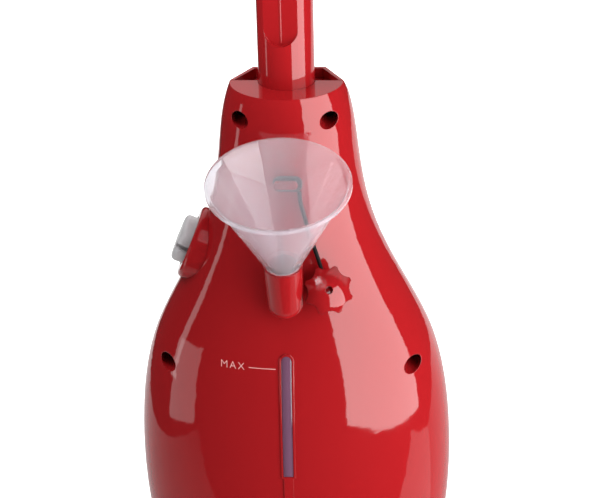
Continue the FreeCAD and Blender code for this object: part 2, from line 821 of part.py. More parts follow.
seal = cut("cap_seal_piece",
           cylinder("cap_seal_disc", "cap_plug_radius + 1.6", "cap_seal_thickness",
                    cap_point("cap_height + cap_seal_thickness"), CAP_TURN),
           cylinder("cap_seal_hole", "cap_plug_radius + fit_gap", "3*cap_seal_thickness",
                    cap_point("cap_height + 2*cap_seal_thickness"), CAP_TURN))
node("cap_seal", seal)

EYELET_Y = f"({LUG_Y} - eyelet_stand)"
LUG_BACK = f"({EYELET_Y} - eyelet_thickness - 0.25)"


def rounded_plate(name, left, right, high, thick, corner, at):
    """An upright plate that stands towards -Y from at, with round corners."""
    owner = body(name, at, TO_MINUS_Y)
    drawing = sketch(owner, "XY_Plane", name + "_outline")
    outline(drawing, [(left, f"({high})/-2"), (right, f"({high})/-2"),
                      (right, f"({high})/2"), (left, f"({high})/2")])
    pad(owner, drawing, thick)

    def corner_edge(edge):
        return abs(edge.BoundBox.ZLength - number(thick)) < 0.01

    round_edges(owner, corner, corner_edge)
    return owner


def round_rim(owner, height, radius):
    """Round the edges of a body that lie level at the given heights of its own Z."""
    def rim(edge):
        box_of = edge.BoundBox
        return box_of.ZLength < 0.01 and any(abs(box_of.ZMin - number(z)) < 0.01 for z in height)

    round_edges(owner, radius, rim)


lug_bar = rounded_plate("lug_bar", "lug_width/-2", "lug_width/2", "lug_height", "lug_thickness",
                        "lug_height/2 - 0.05", ("lug_aside", LUG_BACK, level("lug_drop")))
round_rim(lug_bar, ("lug_thickness",), "lug_round")
lug_neck = cylinder("lug_neck", "lug_neck_radius", f"{LUG_Y} + 2*shell_wall - {LUG_BACK} + 0.5",
                    ("lug_aside", f"{LUG_Y} + 2*shell_wall", level("lug_drop")), TO_MINUS_Y)
node("tether_lug", fuse("tether_lug_piece", lug_bar, lug_neck))

eyelet = rounded_plate("eyelet_plate", "eyelet_reach - eyelet_width", "eyelet_reach", "eyelet_height",
                       "eyelet_thickness", "eyelet_corner", ("lug_aside", EYELET_Y, level("lug_drop")))
round_rim(eyelet, ("0", "eyelet_thickness"), "eyelet_round")
eyelet_hole = cylinder("eyelet_hole", "lug_neck_radius + running_gap", "4*eyelet_thickness",
                       ("lug_aside", f"{EYELET_Y} + eyelet_thickness", level("lug_drop")), TO_MINUS_Y)
node("tether_eyelet", cut("tether_eyelet_piece", eyelet, eyelet_hole))


def spot(x, y, z):
    return FreeCAD.Vector(number(x), number(y), number(z))


def cap_side(depth, out, left, up):
    """A point beside the cap's axis, out from it towards the left and the top of its face."""
    turn = FreeCAD.Rotation(*[number(angle) for angle in CAP_TURN])
    aside = FreeCAD.Vector(-left, up, 0).normalize() * number(out)
    return spot(*cap_point(depth)) + turn.multVec(aside)


# The tether hangs from the lower right corner of its eyelet, and is moulded into the seal's rim.
TETHER_Y = f"({EYELET_Y} - eyelet_thickness/2)"
EYELET_FOOT = f"({level('lug_drop')} - eyelet_height/2)"
TETHER = [
    spot("7.6", TETHER_Y, f"{EYELET_FOOT} - 0.05"),
    spot("7.7", f"{TETHER_Y} - 0.2", f"{EYELET_FOOT} - 5"),
    spot("10.0", f"{TETHER_Y} - 1.1", f"{EYELET_FOOT} - 13"),
    spot("14.0", f"{TETHER_Y} - 3.4", f"{EYELET_FOOT} - 27.5"),
    cap_side("cap_height + 2.6", "cap_radius + 2", 0.15, 1),
    cap_side("cap_height + cap_seal_thickness/2", "cap_plug_radius + 1", 0.15, 1),
]
node("cap_tether", tube("cap_tether_run", TETHER, number("tether_radius")))

# ---------------------------------------------------------------- steam dial, collar and switch



def round_circle(owner, radius, height, fillet):
    """Round the circular edge of a turned body at one radius and height."""
    def chosen(edge):
        circle_of = edge.Curve
        return (isinstance(circle_of, Part.Circle) and abs(circle_of.Radius - number(radius)) < 0.01
                and abs(circle_of.Center.z - number(height)) < 0.01)

    round_edges(owner, fillet, chosen)


collar_ring = revolved("dial_collar_body", [
    ("dial_shaft_radius + 1", "-collar_depth"),
    ("collar_radius - 4", "-collar_depth"),
    ("collar_radius", "-collar_depth + 4"),
    ("collar_radius", "collar_stand"),
    ("dial_radius + 1", "collar_stand"),
    ("dial_radius + 0.6", "collar_stand - collar_well"),
    ("dial_shaft_radius + 1", "collar_stand - collar_well"),
], dial_axis("0"), DIAL_TURN)
round_circle(collar_ring, "collar_radius", "collar_stand", "collar_edge")
node("dial_collar", collar_ring)

DIAL_BASE = "(collar_stand - collar_well + dial_gap)"
dial = revolved("steam_dial_body", [
    ("0", "-dial_shaft_length"),
    ("dial_shaft_radius", "-dial_shaft_length"),
    ("dial_shaft_radius", "0"),
    ("dial_radius", "0"),
    ("dial_radius", "dial_thickness"),
    ("0", "dial_thickness + 0.5"),
], dial_axis(DIAL_BASE), DIAL_TURN)
round_circle(dial, "dial_radius", "dial_thickness", "dial_edge")
notch_drawing = sketch(dial, "XY_Plane", "dial_notch")
outline(notch_drawing, [
    ("dial_notch_width/-2", "-dial_radius - 1"),
    ("dial_notch_width/2", "-dial_radius - 1"),
    ("dial_notch_width/2", "dial_notch_depth - dial_radius"),
    ("dial_notch_width/-2", "dial_notch_depth - dial_radius"),
])
pocket(dial, notch_drawing, "dial_thickness + 2", reverse=True)
node("steam_dial", dial)

SWITCH_X, _, SWITCH_Z = dial_axis("-collar_depth - 0.3 - switch_depth")
switch_case = box("switch_case", "switch_width", "switch_width", "switch_depth",
                  (f"{SWITCH_X} - switch_width/2*sin(dial_tilt)", "switch_width/-2",
                   f"{SWITCH_Z} - switch_width/2*cos(dial_tilt)"), DIAL_TURN)
switch_bore = cylinder("switch_bore", "dial_shaft_radius + running_gap", "2*switch_depth",
                       dial_axis("-collar_depth - 1.5*switch_depth"), DIAL_TURN)
node("dial_switch", cut("dial_switch_piece", switch_case, switch_bore))

# ---------------------------------------------------------------- fluted pole

# The flute is a flat cut down the pole's face, turned a little to the left. Its lower end is
# round, and a fine raised line runs down its middle.
FLUTE_FLAT = "sqrt(pole_radius*pole_radius - flute_half_width*flute_half_width)"
FLUTE_ROUND = level("-(flute_start + flute_half_width)")
FLUTE_FACING = ("flute_turn", 0, 90)


def in_flute(x, y):
    """A point in plan, given in the flute's own turned directions."""
    return (f"({x})*cos(flute_turn) - ({y})*sin(flute_turn)",
            f"({x})*sin(flute_turn) + ({y})*cos(flute_turn)")


def flute_slab(name, inset, low, height):
    """All that lies in front of the flute's flat, drawn in by inset."""
    x, y = in_flute("-pole_radius", f"({inset}) - {FLUTE_FLAT} - pole_radius")
    return box(name, "2*pole_radius", "pole_radius", height, (x, y, low), ("flute_turn", 0, 0))


def flute_line(name, grow, low, high):
    """The raised line in the middle of the flute, grown by grow."""
    x, y = in_flute("0", f"flute_line_sink - {FLUTE_FLAT}")
    return cylinder(name, f"flute_line_radius + {grow}", f"{high} - ({low})", (x, y, low))


def pole_form(name, inset, low, high):
    """A solid pole with its flute, drawn in by inset."""
    rod = cylinder(name + "_rod", f"pole_radius - ({inset})", f"{high} - ({low})", (0, 0, low))
    slab = flute_slab(name + "_flute", inset, FLUTE_ROUND, f"{high} - {FLUTE_ROUND} + 1")
    x, y = in_flute("0", f"({inset}) - {FLUTE_FLAT}")
    end = cylinder(name + "_flute_end", f"flute_half_width + ({inset})", "pole_radius",
                   (x, y, FLUTE_ROUND), FLUTE_FACING)
    return cut(name, rod, slab, end)


LOWER_BOTTOM = level("pole_socket_depth")
LOWER_TOP = level("-lower_pole_rise")
UPPER_BOTTOM = f"({LOWER_TOP} + coupling_ring_height)"
UPPER_TOP = f"({UPPER_BOTTOM} + upper_pole_rise)"

FLUTE_FOOT = level("-flute_start - 0.4")
lower_pole = cut("lower_pole_piece",
                 fuse("lower_with_line", pole_form("lower_outside", "0", LOWER_BOTTOM, LOWER_TOP),
                      flute_line("lower_line", "0", FLUTE_FOOT, LOWER_TOP)),
                 pole_form("lower_inside", "pole_wall", f"{LOWER_BOTTOM} - 1", f"{LOWER_TOP} + 1"))
node("lower_pole", lower_pole)
button_hole = cylinder("button_hole", "button_radius + running_gap", "2*pole_radius",
                       (0, 0, f"{UPPER_BOTTOM} + button_rise"), TO_Y)
LOWER_HOOK_Z = level("-lower_hook_rise")
HANDLE_LOW = f"({UPPER_TOP} - handle_neck)"
UPPER_HOOK_Z = f"({HANDLE_LOW} - upper_hook_drop)"
pivot_hole = cylinder("pivot_hole", "pivot_boss_radius + fit_gap", "pole_radius",
                      (0, "-pivot_boss_depth", UPPER_HOOK_Z), TO_MINUS_Y)
upper_pole = cut("upper_pole_piece",
                 fuse("upper_with_line", pole_form("upper_outside", "0", UPPER_BOTTOM, UPPER_TOP),
                      flute_line("upper_line", "0", UPPER_BOTTOM, UPPER_TOP)),
                 pole_form("upper_inside", "pole_wall", f"{UPPER_BOTTOM} - 1", f"{UPPER_TOP} + 1"),
                 button_hole, pivot_hole)
node("upper_pole", upper_pole)

coupling_core = pole_form("coupling_core", "(pole_wall + fit_gap)", f"{LOWER_TOP} - coupling_reach",
                          f"{UPPER_BOTTOM} + coupling_reach")
coupling_ring = pole_form("coupling_ring", "-0.6", LOWER_TOP, UPPER_BOTTOM)
coupling_bore = cylinder("coupling_bore", "button_radius + running_gap", "2*pole_radius",
                         (0, "pole_radius + button_stand - button_length - button_spring_length",
                          f"{UPPER_BOTTOM} + button_rise"), TO_Y)
node("pole_coupling", cut("pole_coupling_piece", fuse("coupling_solid", coupling_core, coupling_ring),
                          coupling_bore))

button_y = "(pole_radius + button_stand)"
button = revolved("pole_button_body", [
    ("0", "-button_length"),
    ("button_radius", "-button_length"),
    ("button_radius", "-1"),
    ("button_radius - 1", "0"),
    ("0", "0.3"),
], (0, button_y, f"{UPPER_BOTTOM} + button_rise"), TO_Y)
node("pole_button", button)

helix = doc.addObject("Part::Helix", "button_spring_line")
bind(helix, Pitch="(button_spring_length - 2*button_spring_wire)/4",
     Height="button_spring_length - 2*button_spring_wire - 0.2",
     Radius="button_spring_radius")
spring_ring = doc.addObject("Part::Circle", "button_spring_section")
bind(spring_ring, Radius="button_spring_wire")
place(spring_ring, ("button_spring_radius", 0, 0), TO_Y)
spring = doc.addObject("Part::Sweep", "button_spring_sweep")
spring.Sections = [spring_ring]
spring.Spine = (helix, [])
spring.Solid = True
spring.Frenet = True
place(spring, (0, f"{button_y} - button_length - button_spring_length + button_spring_wire + 0.1",
               f"{UPPER_BOTTOM} + button_rise"), TO_Y)
node("button_spring", spring)

# ---------------------------------------------------------------- handle: a closed loop in two shells

LOOP_LOW = UPPER_TOP
LOOP_TOP = f"({LOOP_LOW} + handle_height)"
LOOP_REAR = "(-handle_depth + pole_radius + handle_neck_wall + 6)"
LOOP_FRONT = "(pole_radius + handle_neck_wall + 6)"


def handle_shell(name, side):
    """One half of the loop handle; side is 1 for +X and -1 for -X."""
    owner = body(name, (f"{side}*seam_gap/4", 0, 0))
    drawing = sketch(owner, "YZ_Plane", name + "_outline")
    outline(drawing, [
        ("-pole_radius", f"{LOOP_LOW} - 10"), ("pole_radius", f"{LOOP_LOW} - 10"),
        ("pole_radius + 1", f"{LOOP_LOW} + 2"),
        (LOOP_FRONT, f"{LOOP_LOW} + 24"),
        (f"{LOOP_FRONT} - 4", LOOP_TOP),
        (f"{LOOP_REAR} + handle_lean", f"{LOOP_TOP} - 6"),
        (LOOP_REAR, f"{LOOP_TOP} - handle_lean - 10"),
        (LOOP_REAR, f"{LOOP_LOW} + 54"),
        ("-pole_radius - 1", f"{LOOP_LOW} + 2"),
    ])
    outline(drawing, [
        (f"{LOOP_FRONT} - handle_bar - 1", f"{LOOP_LOW} + 34"),
        (f"{LOOP_FRONT} - handle_bar - 3", f"{LOOP_TOP} - handle_bar"),
        (f"{LOOP_REAR} + handle_bar + 8", f"{LOOP_TOP} - handle_bar - 4"),
        (f"{LOOP_REAR} + handle_bar", f"{LOOP_TOP} - handle_bar - 16"),
        (f"{LOOP_REAR} + handle_bar", f"{LOOP_LOW} + 62"),
    ])
    pad(owner, drawing, "handle_half_thickness", reverse=side < 0)
    outer = number("handle_half_thickness") * side

    def upright(edge):
        ends = [vertex.Point for vertex in edge.Vertexes]
        return len(ends) == 2 and abs(ends[0].x - ends[1].x) > 1 and ends[0].z > number(LOOP_LOW) - 5

    round_edges(owner, "handle_corner*0.4", upright)

    def rim(edge):
        spots = [vertex.Point for vertex in edge.Vertexes]
        buried = all(spot.z < number(LOOP_LOW) - 9 for spot in spots)
        return all(abs(spot.x - outer) < 0.01 for spot in spots) and not buried

    round_edges(owner, "handle_round", rim)
    return owner


HANDLE_SCREW_SPOTS = (
    (f"{LOOP_FRONT} - handle_bar/2", f"{LOOP_LOW} + 22"),
    (f"{LOOP_FRONT} - handle_bar/2 - 2", f"{LOOP_TOP} - 30"),
)
neck_room = fuse("handle_neck_room_with_line",
                 pole_form("handle_neck_room", "0 - fit_gap", f"{HANDLE_LOW} - 1",
                           f"{UPPER_TOP} + fit_gap"),
                 flute_line("handle_neck_line", "fit_gap", f"{HANDLE_LOW} - 1",
                            f"{UPPER_TOP} + fit_gap"))


def handle_tools(name, side):
    """Bores for the handle's screws: a wide well on the left, a pilot hole on the right."""
    turn = TO_MINUS_X if side < 0 else TO_X
    radius = "screw_shank_radius + fit_gap"
    tools = [cylinder(f"{name}_hole_{i}", radius, "10", (0, y, z), turn)
             for i, (y, z) in enumerate(HANDLE_SCREW_SPOTS)]
    if side < 0:
        tools += [cylinder(f"{name}_well_{i}", "screw_head_radius + 0.4", "20", (-6, y, z), turn)
                  for i, (y, z) in enumerate(HANDLE_SCREW_SPOTS)]
    return tools


handle_sleeve = revolved("handle_sleeve", [
    ("0", f"{HANDLE_LOW}"),
    ("pole_radius + handle_neck_wall - 1.2", f"{HANDLE_LOW}"),
    ("pole_radius + handle_neck_wall", f"{HANDLE_LOW} + 1.2"),
    ("pole_radius + handle_neck_wall", f"{LOOP_LOW} + 2"),
    ("handle_half_thickness - 2", f"{LOOP_LOW} + 14"),
    ("0", f"{LOOP_LOW} + 14"),
])
for side, side_name in ((1, "right"), (-1, "left")):
    start = "seam_gap/4" if side > 0 else "-50 - seam_gap/4"
    sleeve = common(f"handle_{side_name}_sleeve", handle_sleeve,
                    box(f"handle_{side_name}_side", "50", "100", TALL,
                        (start, "-50", f"{HANDLE_LOW} - 10")))
    half = fuse(f"handle_{side_name}_solid", handle_shell(f"handle_{side_name}_body", side), sleeve)
    node(f"handle_{side_name}_shell", cut(f"handle_{side_name}_piece", half, neck_room,
                                          *handle_tools(f"handle_{side_name}", side)))

handle_screws = [
    fuse(f"handle_screw_{i}",
         cylinder(f"handle_shank_{i}", "screw_shank_radius", "15", (-7, y, z), TO_X),
         cylinder(f"handle_screw_head_{i}", "screw_head_radius", "screw_head_height", (-6, y, z),
                  TO_MINUS_X))
    for i, (y, z) in enumerate(HANDLE_SCREW_SPOTS)]
node("handle_screws", group("handle_screw_set", *handle_screws))

grip_z = f"({LOOP_LOW} + 71)"


def rounded_bar(name, grow, length, start):
    """A rounded rectangular bar round the loop's rear run."""
    owner = body(name, (0, f"{LOOP_REAR} + handle_bar/2", start))
    drawing = sketch(owner, "XY_Plane", name + "_outline")
    wide = f"(handle_half_thickness + seam_gap/4 + {grow})"
    deep = f"(handle_bar/2 + {grow})"
    outline(drawing, [(f"-{wide}", f"-{deep}"), (wide, f"-{deep}"), (wide, deep), (f"-{wide}", deep)])
    pad(owner, drawing, length)

    def upright(edge):
        return abs(edge.BoundBox.ZLength - number(length)) < 0.01

    round_edges(owner, f"handle_round + {grow}", upright)
    return owner


grip = cut("handle_grip_piece", rounded_bar("grip_outside", "grip_wall", "grip_length", grip_z),
           rounded_bar("grip_inside", "fit_gap", "grip_length + 2", f"{grip_z} - 1"))
node("handle_grip", grip)

# ---------------------------------------------------------------- cord hooks


def hook(name, at, up):
    """An L-shaped cord hook that stands out of the flute; up is 1 or -1 for the way it points."""
    owner = body(name, at)
    drawing = sketch(owner, "YZ_Plane", name + "_outline")
    outline(drawing, [
        ("0", "-hook_base/2"), ("0", "hook_base/2"), ("-3.4", "hook_base/2"),
        ("-3.4", f"{up}*hook_arm/2"),
        ("3 - hook_reach", f"{up}*hook_arm/2"),
        ("3 - hook_reach", f"{up}*(hook_tip - hook_arm/2)"),
        ("-hook_reach", f"{up}*(hook_tip - hook_arm/2)"),
        ("-hook_reach", f"{up}*(1 - hook_arm/2)"),
        ("1 - hook_reach", f"{up}*hook_arm/-2"),
        ("-3.4", f"{up}*hook_arm/-2"),
        ("-3.4", "-hook_base/2"),
    ] if up > 0 else [
        ("0", "-hook_base/2"), ("0", "hook_base/2"), ("-3.4", "hook_base/2"),
        ("-3.4", "hook_arm/2"),
        ("1 - hook_reach", "hook_arm/2"),
        ("-hook_reach", "hook_arm/2 - 1"),
        ("-hook_reach", "hook_arm/2 - hook_tip"),
        ("3 - hook_reach", "hook_arm/2 - hook_tip"),
        ("3 - hook_reach", "hook_arm/-2"),
        ("-3.4", "hook_arm/-2"),
        ("-3.4", "-hook_base/2"),
    ])
    pad(owner, drawing, "hook_width", midplane=True)
    return owner


HOOK_FACE = "(-pole_radius - 0.3)"


def flute_block(name, height):
    """A block that fills the flute behind a hook, with a groove over the raised line."""
    low = f"({height} - hook_base/2)"
    rod = cylinder(name + "_rod", "pole_radius", "hook_base", (0, 0, low))
    slab = flute_slab(name + "_slab", "0 - fit_gap", low, "hook_base")
    return cut(name, common(name + "_round", rod, slab),
               flute_line(name + "_groove", "fit_gap", f"{low} - 1", f"{low} + hook_base + 1"))


lower_hook = fuse("lower_hook_solid",
                  hook("lower_hook_body", (0, f"{HOOK_FACE} + 0.4", LOWER_HOOK_Z), -1),
                  flute_block("lower_hook_foot", LOWER_HOOK_Z))
node("lower_cord_hook", lower_hook)

pivot_boss = cylinder("hook_pivot_boss", "pivot_boss_radius", "pole_radius - pivot_boss_depth - 1",
                      (0, "-pivot_boss_depth", UPPER_HOOK_Z), TO_MINUS_Y)
pivot_bore = cylinder("hook_pivot_bore", "hook_pin_radius + running_gap", "20",
                      (0, f"{HOOK_FACE} + hook_pin_length + 0.3", UPPER_HOOK_Z), TO_MINUS_Y)
node("hook_pivot", cut("hook_pivot_piece",
                       fuse("hook_pivot_solid", flute_block("hook_pivot_block", UPPER_HOOK_Z),
                            pivot_boss), pivot_bore))
upper_hook_pin = cylinder("upper_hook_pin", "hook_pin_radius", "hook_pin_length",
                          (0, f"{HOOK_FACE} + hook_pin_length", UPPER_HOOK_Z), TO_MINUS_Y)
node("upper_cord_hook", fuse("upper_cord_hook_piece",
                             hook("upper_hook_body", (0, HOOK_FACE, UPPER_HOOK_Z), 1), upper_hook_pin))

# ---------------------------------------------------------------- chassis, pump, board and boiler

chassis_width = "2*(middle_screw_spread - well_boss_radius - 0.3)"
chassis_plate = centred_box("chassis_plate", chassis_width, "chassis_thickness",
                            "chassis_bottom_drop - chassis_top_drop",
                            (0, 0, level("chassis_bottom_drop")))
chassis_trim = body_form("chassis_trim", "shell_wall + 0.3")
pump_cradle = centred_box("pump_cradle", "pump_length*0.5", "pump_back",
                          "pump_radius*1.2",
                          (0, "pump_back/2", level("pump_drop + pump_radius*1.1")))
pump_room = cylinder("pump_room", "pump_radius + fit_gap", "pump_length*2",
                     ("-pump_length", "pump_back", level("pump_drop")), TO_X)
STANDOFF_SPOTS = [(f"{sx}*(board_width/2 - 5)", f"{level('board_top_drop')} - board_height/2"
                   f" + {sz}*(board_height/2 - 5)")
                  for sx in ("-1", "1") for sz in ("-1", "1")]
standoffs = [cylinder(f"board_standoff_{i}", "2.6", "board_standoff",
                      (x, "chassis_thickness/2", z), TO_Y)
             for i, (x, z) in enumerate(STANDOFF_SPOTS)]
node("chassis", cut("chassis_piece",
                    common("chassis_form", chassis_trim,
                           fuse("chassis_solid", chassis_plate, pump_cradle, *standoffs)),
                    pump_room))

board_y = "(chassis_thickness/2 + board_standoff)"
board_low = f"({level('board_top_drop')} - board_height)"
board_plate = centred_box("board_plate", "board_width", "board_thickness", "board_height",
                          (0, f"{board_y} + board_thickness/2", board_low))
relay = centred_box("board_relay", "18", "14", "15", ("-18", f"{board_y} + board_thickness + 6.9",
                                                      f"{board_low} + 8"))
capacitor = cylinder("board_capacitor", "6", "16", ("10", f"{board_y} + board_thickness - 0.1",
                                                    f"{board_low} + 22"), TO_Y)
heat_sink = centred_box("board_heat_sink", "10", "12", "22", ("27", f"{board_y} + board_thickness + 5.9",
                                                             f"{board_low} + 16"))
terminals = centred_box("board_terminals", "26", "9", "8", ("-12", f"{board_y} + board_thickness + 4.4",
                                                           f"{board_low} + 34"))
node("control_board", fuse("control_board_piece", board_plate, relay, capacitor, heat_sink, terminals))

PUMP_AT = ("0", "pump_back", level("pump_drop"))
pump = revolved("pump_body", [
    ("0", "-pump_length/2 - pump_nipple_length"),
    ("pump_nipple_radius", "-pump_length/2 - pump_nipple_length"),
    ("pump_nipple_radius", "-pump_length/2"),
    ("pump_radius*0.6", "-pump_length/2"),
    ("pump_radius*0.6", "-pump_length/2 + 6"),
    ("pump_radius", "-pump_length/2 + 8"),
    ("pump_radius", "pump_length/2 - 12"),
    ("pump_radius*0.75", "pump_length/2 - 10"),
    ("pump_radius*0.75", "pump_length/2"),
    ("pump_nipple_radius", "pump_length/2"),
    ("pump_nipple_radius", "pump_length/2 + pump_nipple_length"),
    ("0", "pump_length/2 + pump_nipple_length"),
], PUMP_AT, TO_X)
node("water_pump", pump)

BOILER_LOW = f"({level('boiler_top_drop')} - boiler_height)"
boiler = body("boiler_body", (0, 0, BOILER_LOW))
boiler_drawing = sketch(boiler, "XY_Plane", "boiler_outline")
outline(boiler_drawing, [
    ("boiler_width/-2", "boiler_depth/-2 + 9"), ("boiler_width/-2 + 12", "boiler_depth/-2"),
    ("boiler_width/2 - 12", "boiler_depth/-2"), ("boiler_width/2", "boiler_depth/-2 + 9"),
    ("boiler_width/2", "boiler_depth/2 - 9"), ("boiler_width/2 - 12", "boiler_depth/2"),
    ("boiler_width/-2 + 12", "boiler_depth/2"), ("boiler_width/-2", "boiler_depth/2 - 9"),
])
pad(boiler, boiler_drawing, "boiler_height")
heater_room = [
    cylinder(f"heater_room_{key}", "heater_radius + fit_gap", "boiler_height + 20",
             (f"{sign}*heater_spread", "-4", f"{BOILER_LOW} - 10"))
    for key, sign in (("left", "-1"), ("right", "1"))]
INLET_AT = ("30", "10", f"{level('boiler_top_drop')}")
boiler_nipples = [
    cylinder("boiler_inlet", "pump_nipple_radius", "9", (INLET_AT[0], INLET_AT[1], f"{INLET_AT[2]} - 1")),
    cylinder("boiler_outlet", "nipple_radius", "nipple_length + 1",
             (0, 0, f"{BOILER_LOW} - nipple_length")),
]
steam_way = cylinder("boiler_steam_way", "steam_bore_radius", "boiler_height/2",
                     (0, 0, f"{BOILER_LOW} - nipple_length - 1"))
node("boiler", cut("boiler_piece", fuse("boiler_solid", boiler, *boiler_nipples), steam_way, *heater_room))

heater_rods = [
    cylinder(f"heater_rod_{key}", "heater_radius", "boiler_height + heater_reach",
             (f"{sign}*heater_spread", "-4", BOILER_LOW))
    for key, sign in (("left", "-1"), ("right", "1"))]
heater_pins = [
    cylinder(f"heater_pin_{key}", "1.5", "8",
             (f"{sign}*heater_spread", "-4", f"{level('boiler_top_drop')} + heater_reach - 1"))
    for key, sign in (("left", "-1"), ("right", "1"))]
node("heating_element", group("heating_element_rods", *[
    fuse(f"heater_{i}", rod, terminal) for i, (rod, terminal) in enumerate(zip(heater_rods, heater_pins))]))

saddle_low = f"({level('sole_drop')} + shell_wall + 0.3)"
saddle_legs = [
    centred_box(f"saddle_leg_{key}", "saddle_thickness", "boiler_depth*0.7",
                f"{BOILER_LOW} - {saddle_low} - 0.3", (f"{sign}*34", 0, saddle_low))
    for key, sign in (("left", "-1"), ("right", "1"))]
saddle_plate = centred_box("saddle_plate", "boiler_width*0.8", "boiler_depth*0.8", "saddle_thickness",
                           (0, 0, f"{BOILER_LOW} - 0.3 - saddle_thickness"))
saddle_hole = cylinder("saddle_hole", "nipple_radius + 3.4", "20", (0, 0, f"{BOILER_LOW} - 14"))
node("boiler_saddle", cut("boiler_saddle_piece", fuse("saddle_solid", saddle_plate, *saddle_legs),
                          saddle_hole))

thermostat = revolved("thermostat_body", [
    ("0", "0"), ("9", "0"), ("9", "2"), ("7", "2"), ("7", "6"), ("0", "6"),
], ("-22", "boiler_depth/2 + 0.1", f"{BOILER_LOW} + boiler_height*0.62"), TO_Y)
node("thermostat", thermostat)
node("thermal_fuse", fuse(
    "thermal_fuse_piece",
    cylinder("fuse_barrel", "2.6", "16", ("8", "boiler_depth/2 + 2.7", f"{BOILER_LOW} + boiler_height*0.3"),
             TO_X),
    cylinder("fuse_lead_left", "0.7", "5", ("3.5", "boiler_depth/2 + 2.7",
                                            f"{BOILER_LOW} + boiler_height*0.3"), TO_X),
    cylinder("fuse_lead_right", "0.7", "5", ("23.5", "boiler_depth/2 + 2.7",
                                             f"{BOILER_LOW} + boiler_height*0.3"), TO_X)))

# ---------------------------------------------------------------- tubes inside the body

TUBE_BORE = number("pump_nipple_radius + fit_gap")
suction = [
    spot(TANK_OUTLET[0], TANK_OUTLET[1], f"{TANK_OUTLET[2]} - 1"),
    spot(TANK_OUTLET[0], TANK_OUTLET[1], f"{TANK_OUTLET[2]} - 16"),
    spot(TANK_OUTLET[0], "pump_back*0.5", f"{TANK_OUTLET[2]} - 16"),
    spot(TANK_OUTLET[0], "pump_back", level("pump_drop")),
    spot("-pump_length/2 - 1", "pump_back", level("pump_drop")),
]
node("suction_tube", tube("suction_tube_run", suction, number("tube_radius + 1.2"), TUBE_BORE))
feed = [
    spot("pump_length/2 + 1", "pump_back", level("pump_drop")),
    spot("pump_length/2 + 16", "pump_back", level("pump_drop")),
    spot("pump_length/2 + 16", "pump_back - 6", level("pump_drop + 22")),
    spot(INLET_AT[0], INLET_AT[1], f"{INLET_AT[2]} + 14"),
    spot(INLET_AT[0], INLET_AT[1], f"{INLET_AT[2]} + 1"),
]
node("feed_tube", tube("feed_tube_run", feed, number("tube_radius + 1.2"), TUBE_BORE))

BLOCK_TOP = f"({level('sole_drop')} + shell_wall + 3)"
steam_hose = cut("steam_hose_piece",
                 cylinder("steam_hose_outside", "nipple_radius + 2.4",
                          f"{BOILER_LOW} - 2.2 - {BLOCK_TOP}", (0, 0, f"{BLOCK_TOP} + 0.2")),
                 cylinder("steam_hose_bore", "nipple_radius + fit_gap", "80", (0, 0, BLOCK_TOP)))
node("steam_hose", steam_hose)

# ---------------------------------------------------------------- cord gland and power lamp

gland_face = f"(0 - {half_depth('hip')})"
FLANGE_FACE = "(-shell_wall - gland_seat)"
gland = revolved("cord_gland_body", [
    ("gland_bore_radius", f"{FLANGE_FACE} - gland_flange - 2"),
    ("gland_root_radius", f"{FLANGE_FACE} - gland_flange - 2"),
    ("gland_root_radius", f"{FLANGE_FACE} - gland_flange"),
    ("gland_flange_radius", f"{FLANGE_FACE} - gland_flange"),
    ("gland_flange_radius", FLANGE_FACE),
    ("gland_root_radius", FLANGE_FACE),
    ("gland_root_radius", "2"),
    ("gland_tip_radius", "gland_stand"),
    ("gland_bore_radius", "gland_stand"),
], (0, gland_face, level("hip_drop")), TO_MINUS_Y)
node("cord_gland", gland)

lamp = revolved("power_lamp_body", [
    ("0", "-7.4"), ("lamp_radius + 1.2", "-7.4"), ("lamp_radius + 1.2", "-6.2"), ("lamp_radius", "-6.2"),
    ("lamp_radius", "0"), ("lamp_radius*0.6", "0.8"), ("0", "1"),
], (0, f"{lamp_y} + 3", level("lamp_drop")), TO_Y)
node("power_lamp", lamp)

# ---------------------------------------------------------------- body neck, swivel block, yoke and pins

block = body("swivel_block_body", (0, 0, "roll_height"))
block_drawing = sketch(block, "XZ_Plane", "swivel_block_outline")
circle(block_drawing, "roll_ear_radius")
pad(block, block_drawing, "block_depth", midplane=True)
stem_drawing = sketch(block, "XZ_Plane", "swivel_block_stem")
outline(stem_drawing, [("-roll_ear_radius", "0"), ("roll_ear_radius", "0"),
                       ("roll_ear_radius", "neck_bottom - roll_height + 2"),
                       ("-roll_ear_radius", "neck_bottom - roll_height + 2")])
pad(block, stem_drawing, "block_depth", midplane=True)
neck_barrel = cylinder("neck_barrel", "neck_radius", f"{level('sole_drop')} + shell_wall + 1 - neck_bottom",
                       (0, 0, "neck_bottom"))
neck_flange = cylinder("neck_flange", "neck_radius + 5", "3",
                       (0, 0, f"{level('sole_drop')} + shell_wall + 0.2"))
neck_nipple = cylinder("neck_nipple", "nipple_radius", "7", (0, 0, f"{BLOCK_TOP} - 1"))
block_bore = cylinder("block_bore", "steam_bore_radius", "100", (0, 0, "roll_height"))
block_pin_bore = cylinder("block_pin_bore", "roll_pin_radius + running_gap", "block_depth*2",
                          (0, "-block_depth", "roll_height"), TO_Y)
node("swivel_block", cut("swivel_block_piece",
                         fuse("swivel_block_solid", block, neck_barrel, neck_flange, neck_nipple),
                         block_bore, block_pin_bore))
collar = cut("neck_collar_piece",
             cone("neck_collar_cone", "neck_radius + 3", "ring_radius", "6",
                  (0, 0, f"{level('sole_drop')} - 6.2")),
             cylinder("neck_collar_hole", "neck_radius + fit_gap", "20",
                      (0, 0, f"{level('sole_drop')} - 12")))
node("neck_collar", collar)

